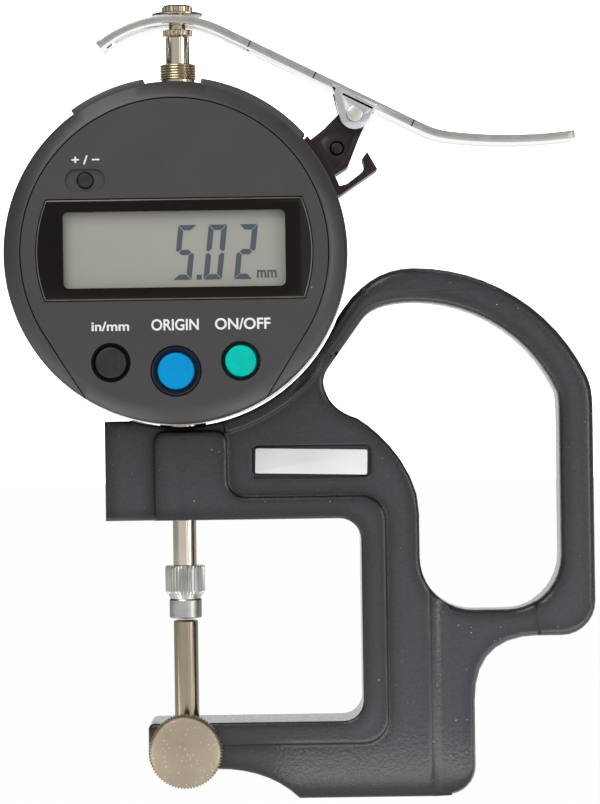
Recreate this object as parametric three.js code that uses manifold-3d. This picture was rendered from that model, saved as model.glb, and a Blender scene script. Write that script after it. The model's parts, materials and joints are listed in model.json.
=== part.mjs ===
// Digital thickness gauge: a round indicator head clamped by its stem in a cast frame with a
// handle loop. Its spindle comes down on a tall anvil post, and a lever on the head lifts it.
// Millimetres, +Z up along the spindle, the dial faces -Y, +X is to the right of the dial.
// The origin is on the flat underside of the foot, in the middle of the frame's thickness.

import * as THREE from 'three';
import { mergeVertices } from 'three/addons/utils/BufferGeometryUtils.js';
import Module from 'manifold-3d';

const wasm = await Module();
wasm.setup();

const degree = Math.PI / 180;

// Clearances between pieces
const fitGap = 0.3;
const seatGap = 0.1;
const seamGap = 0.25;
const toolReach = 1;

// Frame: thickness of its raised rim, its main plate and its handle
const rimThickness = 14;
const plateThickness = 11.6;
const handleThickness = 10;
const webThickness = 8.2;
const rimEdge = 0.6;
const plateEdge = 0.95;
const handleEdge = 1.6;
const webEdge = 1.4;

// Frame: throat between the arms, measured from the spindle axis
const throatDepth = 30.45;
const throatTop = 48;
const throatBottom = 13.3;
const throatCornerTop = 3.7;
const throatCornerBottom = 3.4;
const rimWidth = 4.3;
const rimBelow = 3.9;
const rimAbove = 3.8;

// Frame: arms and foot
const armEnd = 13.3;
const armTop = 65.1;
const lowerArmEnd = 6.4;
const lowerArmUnderside = 5.2;
const lowerArmCorner = 2;
const footLeft = 19.3;
const footRight = 49.7;
const footCorner = 4.9;
const plateRight = 42.4;
const footCentre = 32;

// Frame: handle loop, an arch over two straight sides
const archX = 40;
const archZ = 58;
const archRadius = 32.8;
const archShoulder = 25;
const shoulderStep = 0.97;
const handleWidth = 5.9;
const handleRight = archX + archRadius * Math.cos(archShoulder * degree) + shoulderStep;
const handleBottom = 27.2;
const handleCorner = 5.9;
const openingLeft = 40.5;
const openingBottom = 31.75;
const openingCorner = 9.3;
const openingTipX = archX - 14.7;
const openingTipZ = archZ + archRadius - handleWidth - 11.1;
const openingRight = handleRight - handleWidth;
const crownBend = 7.2;
const crownReach = 11.9;
const crownDrop = 6.7;
const legEndAngle = 59.6;
const legEndLean = 0.5;
const swellFrom = openingTipX + 16;
const swellTo = openingTipX + 3;
const bandFrom = -75.5;
const bandFade = -46;
const bandTo = -33;
const bandWidth = 2.2;

// Frame: boss round the stem, and the pocket of the label plate
const bossLeft = -4.8;
const bossRight = 7.7;
const bossTop = 63.2;
const bossCorner = 1.8;
const bossFillet = 3;
const labelX = 22.1;
const labelZ = 57.8;
const labelLength = 19.2;
const labelHeight = 4.3;
const labelThickness = 0.6;
const labelTilt = 1.4;
const pocketLength = 20.3;
const pocketHeight = 5.6;
const pocketDepth = 0.5;

// Head: round case with a front bezel, on the spindle axis but for a small shift
const headX = -0.4;
const headZ = 93.5;
const caseRadius = 29.2;
const caseWall = 1.3;
const caseFront = -9.9;
const caseBack = 7;
const lipWidth = 4.7;
const lipThickness = 1.5;
const bezelStep = 0.3;
const bezelRadius = caseRadius - bezelStep;
const bezelFront = -16.5;
const bezelWall = 2.3;
const bezelRim = 2.7;
const bezelFlat = bezelRadius - bezelRim;
const bezelSlope = 1.4;
const landHeight = 0.7;
const landAngles = [[99.5, 125.4], [41.4, 80.5]];
const panelThickness = 1.5;
const seamMargin = 3.1;
const seamRadius = bezelRadius - seamMargin;
const seamAngle = 31.7;
const seamEndX = 11.1;
const seamOvershoot = 2.1;
const seamEndZ = -bezelRadius - seamOvershoot;

// Head: display
const windowMargin = 2.6;
const windowRadius = seamRadius - windowMargin;
const windowHeight = 16.9;
const windowRise = 0.45;
const windowFront = -16.8;
const windowThickness = 1.2;
const windowSide = 4.55;
const displayWidth = 2 * (windowRadius - windowSide);
const displayHeight = 12.8;
const displayCorner = 0.9;
const displayMargin = 1.1;
const displayThickness = 1.4;
const boardFront = -12;
const boardThickness = 1.2;
const boardMargin = 1.6;
const boardRadius = bezelRadius - bezelWall - boardMargin;

// Head: keys, each with its place from the head's centre, the radii of its cap and skirt, and colours
const keyFront = -17;
const keyFlange = 0.45;
const keyTravel = 0.5;
const skirtFront = -16.2;
const keySpacing = 10.9;
const middleKeyZ = 5.8 - seamRadius;
const sideKeyZ = 7.35 - seamRadius;
const sideKey = { cap: 2.62, skirt: 3.2 };
const middleKey = { cap: 3.07, skirt: 4.2 };
const keys = [
  { name: 'unit', x: -keySpacing, z: sideKeyZ, ...sideKey, color: 0x2b2a2b, skirtColor: 0x1c1a1a },
  { name: 'origin', x: 0, z: middleKeyZ, ...middleKey, color: 0x1c8fdc, skirtColor: 0x1b2036 },
  { name: 'power', x: keySpacing, z: sideKeyZ, ...sideKey, color: 0x0abeaa, skirtColor: 0x123a33 },
];
const signKeyRise = 3.3;
const signKeyMargin = 6.62;
const signKeyZ = windowRise + windowHeight / 2 + signKeyRise;
const signKeyX = -Math.sqrt((seamRadius - signKeyMargin) ** 2 - signKeyZ ** 2);
const signKey = { x: signKeyX, z: signKeyZ, cap: 1.33, color: 0x201e1f };
const signDishLength = 6.8;
const signDishHeight = 3.8;
const signDishDepth = 0.5;

// Spindle and what is on it
const spindleRadius = 2.05;
const spindleStand = 4.8;
const spindleTravel = 7.5;
const contactBottom = 30.9;
const collarTop = 34.2;
const knurlBottom = 35.2;
const contactTop = 40;
const collarRadius = 2.8;
const knurlRadius = 3.45;
const contactKnurlDepth = 0.25;
const contactKnurlTeeth = 22;
const liftRingRadius = 2.65;
const liftKnurlDepth = 0.2;
const liftKnurlTeeth = 20;
const liftRingHeight = 1;
const neckRadius = 1.5;
const washerRadius = 4.4;
const washerThickness = 0.4;
const liftHeadHeight = 1.4;

// Stem and the threaded bush on top
const stemRadius = 4;
const stemBottom = 48.3;
const stemFlange = 5;
const stemFlangeHeight = 1.5;
const bushRadius = 3.15;
const bushStand = 4;
const bushTop = headZ + caseRadius + bushStand;
const spindleTop = bushTop + spindleStand;
const bushFlange = 4.2;
const bushFlangeHeight = 1.5;
const threadPitch = 0.45;
const threadDepth = 0.3;
const threadTurns = 6;

// Anvil post and the thumb screw that clamps it
const postRadius = 2.12;
const postTop = 30.6;
const postBottom = 6;
const screwZ = 8.8;
const knobRadius = 6.3;
const knobFaceRadius = 5.95;
const knobThickness = 3.6;
const knobTeeth = 36;
const knobToothDepth = 0.35;
const screwRadius = 1.5;

// Lever: an arched fork, a straight run and an upturned end
const pivotAngle = 37.7;
const pivotStand = 9.72;
const leverThickness = 1.3;
const leverWidth = 10;
const leverArch = 20;
const leverArchX = -1.1;
const liftPlay = 0.9;
const leverSlope = 26.6;
const leverTip = 129.7;
const leverBendReach = 11.9;
const leverBend = 14;
const leverBendEnd = 7.4;
const leverEndRadius = 85;
const leverEndRise = 7;
const slotWidth = 3.6;
const slotLeft = -12.3;
const slotRight = 12.5;
const earThickness = 0.8;
const earRadius = 2.6;
const earLeft = -3.8;
const earRight = 3.8;
const pinRadius = 0.9;
const pinHeadRadius = 1.4;
const pinHeadThickness = 0.6;

// Bracket that carries the lever on the side of the case
const bracketThickness = 7.6;
const bracketBase = 0.9;
const bracketEye = 2;
const bracketRecess = 0.6;
const bracketBelow = 9.2;
const bracketAbove = 2.1;
const bracketPinX = 4.6;
const bracketPinZ = 0.24;
const bracketPinRadius = 1;
const bracketPinWall = 1;

// Inside the head: measuring system, guide, return spring, battery and plug
const carrierWidth = 8;
const carrierFront = -3.6;
const carrierBack = 3.2;
const carrierDrop = 13.5;
const carrierLength = 24;
const carrierBottom = headZ - carrierDrop;
const carrierTop = carrierBottom + carrierLength;
const scaleThickness = 1;
const scaleWidth = 6;
const detectorThickness = 1.1;
const detectorWidth = 14;
const detectorLength = 28;
const detectorBottom = carrierBottom + 2;
const detectorTop = detectorBottom + detectorLength;
const detectorGap = 0.4;
const guideZ = carrierBottom + carrierLength / 2;
const guidePinRadius = 0.9;
const guidePinLength = 4.6;
const guideInner = carrierWidth / 2 + 1.9;
const guideOuter = guideInner + 4;
const guideHalf = 2.2;
const springX = -carrierWidth / 2 - 3.5;
const springY = -2.6;
const springRadius = 1.6;
const springWire = 0.22;
const springTurns = 12;
const springHook = carrierTop - 6;
const springPost = 0.8;
const batteryRadius = 5.8;
const batteryThickness = 5.4;
const batteryFront = 1.5;
const holderWall = 0.7;
const holderRadius = batteryRadius + fitGap + holderWall;
const holderSideGap = 0.9;
const holderEdgeGap = 1;
const batteryX = -carrierWidth / 2 - holderSideGap - holderRadius;
const batteryReach = caseRadius - lipWidth - holderEdgeGap - holderRadius;
const batteryZ = headZ - Math.sqrt(batteryReach ** 2 - (batteryX - headX) ** 2);
const springFootGap = 0.6;
const springFoot = batteryZ - holderRadius - springFootGap - springPost;
const coverThickness = 1.5;
const coverEdge = 0.6;
const coverRadius = caseRadius - coverEdge;
const lidOverlap = 0.4;
const batteryCoverRadius = holderRadius + lidOverlap;
const coverScrews = 4;
const coverScrewAngle = 38;
const coverScrewMargin = 3;
const coverScrewCircle = caseRadius - coverScrewMargin;
const screwHeadRadius = 1.6;
const screwHeadThickness = 0.7;
const screwShank = 1;
const portHeight = 11;
const portWidth = 5.4;
const portMiddle = -1;
const portLip = 0.3;
const portInset = 2.6;
const portDepth = 3;
const portMouth = 2;
const portWall = 0.8;
const contactRadius = 3;
const coinSlotLength = 9;
const coinSlotWidth = 1.4;
const coinSlotDepth = 0.8;

// How finely round shapes are cut
const roundSides = 44;
const smallSides = 20;
const tinySides = 12;
const curveSteps = 7;

// Colours, with roughness and metalness
function finish(color, roughness, metalness) {
  return new THREE.MeshStandardMaterial({ color, roughness, metalness });
}

const castPaint = () => finish(0x48484c, 0.6, 0.1);
const darkPlastic = () => finish(0x4a4a4e, 0.55, 0);
const blackPlastic = () => finish(0x262122, 0.5, 0);
const steel = () => finish(0xb9b6ae, 0.25, 1);
const nickel = () => finish(0xa79f8c, 0.35, 1);
const chrome = () => finish(0xc4c4c4, 0.15, 1);

const group = new THREE.Group();
const gauge = new THREE.Group();
gauge.position.set(-footCentre, 0, 0);
group.add(gauge);

function addPiece(name, geometry, material) {
  const mesh = new THREE.Mesh(geometry, material);
  mesh.name = name;
  gauge.add(mesh);
  return mesh;
}

// Closed three.js geometry to a solid that can be cut, and back
function solidOf(geometry) {
  const closed = outward(geometry);
  const mesh = new wasm.Mesh({
    numProp: 3,
    vertProperties: new Float32Array(closed.attributes.position.array),
    triVerts: new Uint32Array(closed.index.array),
  });
  return new wasm.Manifold(mesh);
}

function geometryOf(solid) {
  const mesh = solid.getMesh();
  const geometry = new THREE.BufferGeometry();
  geometry.setAttribute('position', new THREE.BufferAttribute(new Float32Array(mesh.vertProperties), 3));
  geometry.setIndex(new THREE.BufferAttribute(new Uint32Array(mesh.triVerts), 1));
  geometry.computeVertexNormals();
  return geometry;
}

function shaped(body, { add = [], cut = [], keep = [] }) {
  let solid = solidOf(body);
  for (const geometry of add) {
    solid = solid.add(solidOf(geometry));
  }
  for (const geometry of keep) {
    solid = solid.intersect(solidOf(geometry));
  }
  for (const geometry of cut) {
    solid = solid.subtract(solidOf(geometry));
  }
  return geometryOf(solid);
}

// A block between two corners
function block(x0, x1, y0, y1, z0, z1) {
  const geometry = new THREE.BoxGeometry(x1 - x0, y1 - y0, z1 - z0);
  geometry.translate((x0 + x1) / 2, (y0 + y1) / 2, (z0 + z1) / 2);
  return geometry;
}

// Points along an outline: arcs are cut so that no chord strays further from the arc than the sag
function pointsAlong(outline, sag) {
  const points = [];
  for (const curve of outline.curves) {
    let pieces = 1;
    if (curve.type === 'EllipseCurve') {
      pieces = Math.ceil(curve.getLength() / curve.xRadius / (2 * Math.acos(1 - sag / curve.xRadius)));
    } else if (curve.type !== 'LineCurve') {
      pieces = curveSteps;
    }
    for (const point of curve.getPoints(pieces)) {
      if (points.every((other) => other.distanceTo(point) > 1e-3)) {
        points.push(point);
      }
    }
  }
  return points;
}

// A flat outline, drawn as (x, z), given its thickness from front to back, with rounded edges
function slab(outline, front, back, edge = 0, sag = 0.03, edgeSteps = 2) {
  const plain = new THREE.Shape(pointsAlong(outline, sag));
  plain.holes = (outline.holes ?? []).map((hole) => new THREE.Path(pointsAlong(hole, sag)));
  const geometry = new THREE.ExtrudeGeometry(plain, {
    depth: back - front - 2 * edge,
    bevelEnabled: edge > 0,
    bevelThickness: edge,
    bevelSize: edge,
    bevelOffset: -edge,
    bevelSegments: edgeSteps,
  });
  geometry.rotateX(Math.PI / 2);
  geometry.translate(0, back - edge, 0);
  return geometry;
}

// Round pieces: a rod along Z, a rod along Y, a rod along X
function rodZ(radius, z0, z1, x = 0, y = 0, sides = smallSides) {
  const geometry = new THREE.CylinderGeometry(radius, radius, z1 - z0, sides);
  geometry.rotateX(Math.PI / 2);
  geometry.translate(x, y, (z0 + z1) / 2);
  return geometry;
}

function rodY(radius, y0, y1, x, z, sides = smallSides) {
  const geometry = new THREE.CylinderGeometry(radius, radius, y1 - y0, sides);
  geometry.translate(x, (y0 + y1) / 2, z);
  return geometry;
}

function rodX(radius, x0, x1, y, z, sides = tinySides) {
  const geometry = new THREE.CylinderGeometry(radius, radius, x1 - x0, sides);
  geometry.rotateZ(Math.PI / 2);
  geometry.translate((x0 + x1) / 2, y, z);
  return geometry;
}

// Turned pieces from [radius, height] points that start and end on the axis or close on themselves
function turnedZ(points, sides = smallSides) {
  const geometry = new THREE.LatheGeometry(points.map(([r, h]) => new THREE.Vector2(r, -h)), sides);
  geometry.rotateX(-Math.PI / 2);
  return outward(geometry);
}

function turnedY(points, x, z, sides = smallSides) {
  const geometry = new THREE.LatheGeometry(points.map(([r, h]) => new THREE.Vector2(r, h)), sides);
  geometry.translate(x, 0, z);
  return outward(geometry);
}

// A lathe profile drawn in the other direction comes out inside out: its triangles are turned over
function outward(geometry) {
  const bare = geometry.clone();
  bare.deleteAttribute('normal');
  bare.deleteAttribute('uv');
  const merged = mergeVertices(bare, 1e-4);
  const place = merged.attributes.position;
  const index = merged.index.array;
  const kept = [];
  let volume = 0;
  const corner = [new THREE.Vector3(), new THREE.Vector3(), new THREE.Vector3()];
  for (let t = 0; t < index.length; t += 3) {
    const [i, j, k] = [index[t], index[t + 1], index[t + 2]];
    if (i === j || j === k || k === i) {
      continue;
    }
    [i, j, k].forEach((vertex, n) => corner[n].fromBufferAttribute(place, vertex));
    volume += corner[0].dot(corner[1].cross(corner[2]));
    kept.push(i, j, k);
  }
  if (volume < 0) {
    for (let t = 0; t < kept.length; t += 3) {
      [kept[t + 1], kept[t + 2]] = [kept[t + 2], kept[t + 1]];
    }
  }
  merged.setIndex(kept);
  merged.computeVertexNormals();
  return merged;
}

// Outline of a straight knurl: teeth round a circle
function toothedOutline(radius, depth, teeth) {
  const outline = new THREE.Shape();
  for (let n = 0; n < 2 * teeth; n += 1) {
    const angle = (n * Math.PI) / teeth;
    const r = n % 2 ? radius - depth : radius;
    const [x, y] = [r * Math.cos(angle), r * Math.sin(angle)];
    if (n === 0) {
      outline.moveTo(x, y);
    } else {
      outline.lineTo(x, y);
    }
  }
  outline.closePath();
  return outline;
}

function knurledRodZ(radius, depth, teeth, z0, z1) {
  const geometry = new THREE.ExtrudeGeometry(toothedOutline(radius, depth, teeth), {
    depth: z1 - z0,
    bevelEnabled: false,
  });
  geometry.translate(0, 0, z0);
  return geometry;
}

function roundedBar(x, z, length, height, corner) {
  const [l, r, b, t] = [x - length / 2, x + length / 2, z - height / 2, z + height / 2];
  const outline = new THREE.Shape();
  outline.moveTo(l + corner, b);
  outline.absarc(r - corner, b + corner, corner, -90 * degree, 0, false);
  outline.absarc(r - corner, t - corner, corner, 0, 90 * degree, false);
  outline.absarc(l + corner, t - corner, corner, 90 * degree, 180 * degree, false);
  outline.absarc(l + corner, b + corner, corner, 180 * degree, 270 * degree, false);
  return outline;
}

// A stretch of a ring round the head's centre, between two angles in degrees
function ringStretch(inner, outer, from, to) {
  const outline = new THREE.Shape();
  outline.absarc(headX, headZ, outer, from * degree, to * degree, false);
  outline.absarc(headX, headZ, inner, to * degree, from * degree, true);
  outline.closePath();
  return outline;
}

// Where a line from a point touches a circle, on its left (side 1) or right (side -1) as seen from
// the point
function touchPoint(fromX, fromZ, x, z, radius, side) {
  const distance = Math.hypot(x - fromX, z - fromZ);
  const heading = Math.atan2(fromZ - z, fromX - x);
  const angle = heading - side * Math.acos(radius / distance);
  return { x: x + radius * Math.cos(angle), z: z + radius * Math.sin(angle), angle };
}

// FRAME

// The throat, walked from the end of the lower arm to the end of the upper arm
function walkThroat(outline, lowerEnd, upperEnd) {
  const [wall, low, high] = [throatDepth, throatBottom, throatTop];
  outline.lineTo(lowerEnd, low);
  outline.absarc(
    wall - throatCornerBottom, low + throatCornerBottom, throatCornerBottom,
    -90 * degree, 0, false,
  );
  outline.absarc(wall - throatCornerTop, high - throatCornerTop, throatCornerTop, 0, 90 * degree, false);
  outline.lineTo(upperEnd, high);
}

function walkUnderside(outline) {
  const bend = { x: 14, endX: 5 };
  outline.lineTo(footLeft, 0);
  outline.quadraticCurveTo(bend.x, lowerArmUnderside, bend.endX, lowerArmUnderside);
  outline.absarc(
    lowerArmCorner - lowerArmEnd, lowerArmUnderside + lowerArmCorner, lowerArmCorner,
    270 * degree, 180 * degree, true,
  );
  outline.absarc(
    lowerArmCorner / 2 - lowerArmEnd, throatBottom - lowerArmCorner / 2, lowerArmCorner / 2,
    180 * degree, 90 * degree, true,
  );
}

// Corners inside the main plate that the left ends of the handle and the web reach to
const inPlate = { right: openingLeft - 6.5, left: 16, low: openingTipZ - 21.8, high: openingTipZ - 13.8 };

// The handle, from the side of the head over the arch and down to its blunt end under the opening,
// then back along the opening. Its left part ends inside the main plate.
function handleOutline() {
  const shoulder = archShoulder * degree;
  const inner = archRadius - handleWidth;
  const top = archZ + archRadius;
  const outerShoulderZ = archZ + archRadius * Math.sin(shoulder);
  const innerShoulder = { x: archX + inner * Math.cos(shoulder), z: archZ + inner * Math.sin(shoulder) };
  const crown = { x: archX - crownReach, z: top - crownDrop };
  const crownFoot = { x: 2 * crown.x - (archX - crownBend), z: crown.z - crownDrop };
  const corner = { x: openingRight - openingCorner, z: openingBottom + openingCorner };
  const legEnd = corner.x + openingCorner * Math.cos(legEndAngle * degree) + legEndLean;
  const outline = new THREE.Shape();
  outline.moveTo(inPlate.right, corner.z);
  outline.lineTo(inPlate.right, inPlate.low);
  outline.lineTo(inPlate.left, inPlate.high);
  outline.lineTo(inPlate.left, crownFoot.z);
  outline.lineTo(crownFoot.x, crownFoot.z);
  outline.lineTo(crown.x, crown.z);
  outline.quadraticCurveTo(archX - crownBend, top, archX, top);
  outline.absarc(archX, archZ, archRadius, 90 * degree, shoulder, true);
  outline.quadraticCurveTo(handleRight, outerShoulderZ - 2.1, handleRight, outerShoulderZ - 5.4);
  outline.absarc(
    handleRight - handleCorner, handleBottom + handleCorner, handleCorner,
    0, -90 * degree, true,
  );
  outline.lineTo(legEnd, handleBottom);
  outline.absarc(corner.x, corner.z, openingCorner, -legEndAngle * degree, 0, false);
  outline.lineTo(openingRight, innerShoulder.z - 3.9);
  outline.quadraticCurveTo(openingRight, innerShoulder.z - 0.9, innerShoulder.x, innerShoulder.z);
  outline.absarc(archX, archZ, inner, shoulder, 90 * degree, false);
  outline.quadraticCurveTo(archX - 6.6, archZ + inner, archX - 8.7, archZ + inner - 2.8);
  outline.lineTo(openingTipX, openingTipZ);
  walkOpeningSide(outline);
  outline.closePath();
  return outline;
}

// The thinner web under the opening, from the main plate to the handle's end
function webOutline() {
  const hip = { x: handleRight - handleCorner - 3.8, z: 16 };
  const corner = { x: openingRight - openingCorner, z: openingBottom + openingCorner };
  const [inLeg, reach] = [-40 * degree, openingCorner + 3];
  const outline = new THREE.Shape();
  outline.moveTo(inPlate.right, 0);
  outline.lineTo(inPlate.right, corner.z);
  outline.absarc(openingLeft + openingCorner, corner.z, openingCorner, 180 * degree, 270 * degree, false);
  outline.absarc(corner.x, corner.z, openingCorner, -90 * degree, inLeg, false);
  outline.lineTo(corner.x + reach * Math.cos(inLeg), corner.z + reach * Math.sin(inLeg));
  outline.lineTo(hip.x + 3, handleBottom);
  outline.lineTo(hip.x, handleBottom);
  outline.quadraticCurveTo(footRight, handleBottom, footRight, hip.z);
  outline.absarc(footRight - footCorner, footCorner, footCorner, 0, -90 * degree, true);
  outline.closePath();
  return outline;
}

// Fillet down which the main plate's face runs out into the web, in steps of [from the edge, height]
function webFillet() {
  const [high, low] = [plateThickness / 2, webThickness / 2];
  const steps = [[-plateEdge, 0.86], [0, 0.62], [0.9, 0.3], [1.9, 0.1], [3.1, 0]];
  const front = steps.map(([x, share]) => new THREE.Vector2(plateRight + x, -low - share * (high - low)));
  const back = front.map(({ x, y }) => new THREE.Vector2(x, -y)).reverse();
  const left = [new THREE.Vector2(inPlate.right, high), new THREE.Vector2(inPlate.right, -high)];
  const prism = new THREE.ExtrudeGeometry(new THREE.Shape([...left, ...front, ...back]), {
    depth: openingBottom + openingCorner,
    bevelEnabled: false,
  });
  return shaped(prism, { keep: [slab(webOutline(), -high, high, plateEdge)] });
}

// The stretch that the handle's opening and the main plate share, walked down from its left tip
function walkOpeningSide(outline) {
  const [x, z] = [openingTipX, openingTipZ];
  outline.quadraticCurveTo(x - 1.4, z - 2, x - 0.6, z - 3.9);
  outline.quadraticCurveTo(x + 0.4, z - 7.3, x + 4.8, z - 8.7);
  outline.bezierCurveTo(x + 8.3, z - 10.8, openingLeft, z - 17.3, openingLeft, z - 25.2);
  outline.lineTo(openingLeft, openingBottom + openingCorner);
}

function plateOutline() {
  const outline = new THREE.Shape();
  outline.moveTo(-armEnd, throatTop);
  outline.lineTo(-armEnd, armTop);
  outline.lineTo(-9, armTop);
  outline.lineTo(-4, headZ - 22);
  outline.lineTo(openingTipX - 7.3, openingTipZ + 1.7);
  outline.lineTo(openingTipX + 1.8, openingTipZ + 2.5);
  outline.lineTo(openingTipX, openingTipZ);
  walkOpeningSide(outline);
  outline.quadraticCurveTo(openingLeft, 38, plateRight, 35);
  outline.lineTo(plateRight, 0);
  walkUnderside(outline);
  walkThroat(outline, 2 - lowerArmEnd, -armEnd);
  return outline;
}

// Raised rim: the boss round the stem and a band round the throat
function rimOutline() {
  const wall = throatDepth + rimWidth;
  const low = throatBottom - rimBelow;
  const high = throatTop + rimAbove;
  const corner = rimWidth;
  const outline = new THREE.Shape();
  outline.moveTo(bossLeft, throatTop);
  outline.absarc(bossLeft + bossCorner, bossTop - bossCorner, bossCorner, 180 * degree, 90 * degree, true);
  outline.absarc(bossRight - bossCorner, bossTop - bossCorner, bossCorner, 90 * degree, 0, true);
  outline.absarc(bossRight + bossFillet, high + bossFillet, bossFillet, 180 * degree, 270 * degree, false);
  outline.absarc(wall - corner, high - corner, corner, 90 * degree, 0, true);
  outline.absarc(wall - corner, low + corner, corner, 0, -90 * degree, true);
  outline.lineTo(-lowerArmEnd, low);
  outline.absarc(
    lowerArmCorner / 2 - lowerArmEnd, throatBottom - lowerArmCorner / 2, lowerArmCorner / 2,
    180 * degree, 90 * degree, true,
  );
  walkThroat(outline, 2 - lowerArmEnd, bossLeft);
  return outline;
}

// From 0 before the first value to 1 after the second, without a kink at either
function easedStep(value, from, to) {
  const t = Math.min(1, Math.max(0, (value - from) / (to - from)));
  return t * t * (3 - 2 * t);
}

// Multiplies each point's distance from the middle plane by a share that depends on its place
function thickened(geometry, share) {
  const place = geometry.attributes.position;
  for (let n = 0; n < place.count; n += 1) {
    place.setY(n, place.getY(n) * share(place.getX(n), place.getZ(n)));
  }
  return geometry;
}

// The handle swells to the main plate's thickness where it runs down beside the head
function handle() {
  const swell = plateThickness / handleThickness - 1;
  const bare = slab(handleOutline(), -handleThickness / 2, handleThickness / 2, handleEdge, 0.04, 3);
  return thickened(bare, (x) => 1 + swell * easedStep(x, swellFrom, swellTo));
}

// The band that follows the head sinks into the handle at its upper end
function headBand() {
  const inner = caseRadius + fitGap;
  const sink = 1 - plateThickness / rimThickness + 0.01;
  const bare = slab(
    ringStretch(inner - toolReach, inner + bandWidth, bandFrom, bandTo),
    -rimThickness / 2, rimThickness / 2, rimEdge, 0.01, 2,
  );
  return thickened(bare, (x, z) => (
    1 - sink * easedStep(Math.atan2(z - headZ, x - headX) / degree, bandFade, bandTo - 2)
  ));
}

function frame() {
  const headReach = caseRadius + fitGap;
  const half = rimThickness / 2;
  const stemHole = stemRadius + fitGap;
  const postHole = postRadius + fitGap;
  const screwHole = screwRadius + fitGap;
  return shaped(handle(), {
    add: [
      slab(plateOutline(), -plateThickness / 2, plateThickness / 2, plateEdge, 0.03, 3),
      slab(webOutline(), -webThickness / 2, webThickness / 2, webEdge),
      webFillet(),
      slab(rimOutline(), -half, half, rimEdge, 0.03, 2),
      headBand(),
    ],
    cut: [
      rodY(headReach, -half - toolReach, half + toolReach, headX, headZ, 2 * roundSides),
      rodZ(stemHole, throatTop - toolReach, headZ - caseRadius + toolReach),
      rodZ(postHole, lowerArmUnderside - 2 * toolReach, throatBottom + toolReach, 0, 0, smallSides),
      rodY(screwHole, -half - toolReach, -postRadius, 0, screwZ, tinySides),
      rodX(screwHole, -armEnd - toolReach, -stemRadius, 0, (throatTop + armTop) / 2),
      slab(
        roundedBar(labelX, labelZ, pocketLength, pocketHeight, 0.8),
        -plateThickness / 2 - toolReach, pocketDepth - plateThickness / 2,
      ),
    ],
  });
}

addPiece('frame', frame(), castPaint());

function labelPlate() {
  const back = pocketDepth - plateThickness / 2 - seatGap;
  const geometry = slab(roundedBar(0, 0, labelLength, labelHeight, 0.3), back - labelThickness, back);
  geometry.rotateY(labelTilt * degree);
  geometry.translate(labelX, 0, labelZ);
  return geometry;
}

addPiece('label_plate', labelPlate(), finish(0xd8d8d6, 0.45, 0.3));

// Set screw in the end of the upper arm that clamps the stem
function stemScrew() {
  const z = (throatTop + armTop) / 2;
  const socket = rodX(0.75, -armEnd - toolReach, -armEnd + 2, 0, z, 6);
  return shaped(rodX(screwRadius, 0.6 - armEnd, -stemRadius - fitGap, 0, z), { cut: [socket] });
}

addPiece('stem_set_screw', stemScrew(), finish(0x2c2c2e, 0.45, 0.8));

// ANVIL

function anvilPost() {
  const dome = 0.35;
  return turnedZ([
    [0, postBottom], [postRadius, postBottom], [postRadius, postTop - dome],
    [postRadius - dome, postTop], [0, postTop],
  ]);
}

addPiece('anvil_post', anvilPost(), steel());

function thumbScrew() {
  const back = -rimThickness / 2 - fitGap;
  const front = back - knobThickness;
  const rim = slab(toothedOutline(knobRadius, knobToothDepth, knobTeeth), front, back);
  const chamfer = knobRadius - knobFaceRadius;
  const turned = turnedY([
    [0, front], [knobFaceRadius, front], [knobRadius, front + chamfer],
    [knobRadius, back - chamfer], [knobFaceRadius, back], [0, back],
  ], 0, 0, roundSides);
  const stud = rodY(screwRadius, back - toolReach, -postRadius - fitGap, 0, 0, tinySides);
  const geometry = shaped(rim, { keep: [turned] });
  const whole = shaped(geometry, { add: [stud] });
  whole.translate(0, 0, screwZ);
  return whole;
}

addPiece('thumb_screw', thumbScrew(), nickel());

// SPINDLE

function spindle() {
  return rodZ(spindleRadius, contactTop + seatGap, spindleTop);
}

addPiece('spindle', spindle(), steel());

function contactPoint() {
  const chamfer = 0.35;
  const body = turnedZ([
    [0, contactBottom], [collarRadius - 0.2, contactBottom], [collarRadius, contactBottom + 0.2],
    [collarRadius, collarTop], [spindleRadius + 0.6, collarTop], [knurlRadius - chamfer, knurlBottom],
    [knurlRadius, knurlBottom + chamfer], [knurlRadius, contactTop - chamfer],
    [knurlRadius - chamfer, contactTop], [0, contactTop],
  ]);
  const teeth = knurledRodZ(knurlRadius, contactKnurlDepth, contactKnurlTeeth, contactBottom, contactTop);
  return shaped(body, { keep: [teeth] });
}

addPiece('contact_point', contactPoint(), finish(0xa9a9aa, 0.35, 1));

const liftRingTop = spindleTop + seatGap + liftRingHeight;
const leverArchZ = liftRingTop + liftPlay + leverThickness - leverArch;
const washerBottom = leverArchZ + leverArch + fitGap;
const washerTop = washerBottom + washerThickness;
const liftHeadBottom = washerTop + seatGap;
const liftHeadTop = liftHeadBottom + liftHeadHeight;

addPiece(
  'lift_lock_ring',
  knurledRodZ(liftRingRadius, liftKnurlDepth, liftKnurlTeeth, spindleTop + seatGap, liftRingTop),
  nickel(),
);

function liftScrew() {
  const dome = 0.35;
  const turned = turnedZ([
    [0, liftHeadBottom], [liftRingRadius, liftHeadBottom], [liftRingRadius, liftHeadTop - dome],
    [liftRingRadius - 0.6, liftHeadTop], [0, liftHeadTop],
  ]);
  const teeth = knurledRodZ(liftRingRadius, liftKnurlDepth, liftKnurlTeeth, liftHeadBottom, liftHeadTop);
  const head = shaped(turned, { keep: [teeth] });
  const neck = rodZ(neckRadius, liftRingTop + seatGap, liftHeadTop - dome, 0, 0, tinySides);
  return shaped(head, { add: [neck] });
}

addPiece('lift_screw', liftScrew(), nickel());

function liftWasher() {
  const hole = neckRadius + fitGap;
  return turnedZ([
    [hole, washerBottom], [washerRadius, washerBottom], [washerRadius, washerTop],
    [hole, washerTop], [hole, washerBottom],
  ]);
}

addPiece('lift_washer', liftWasher(), nickel());

// STEM AND TOP BUSH

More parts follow.
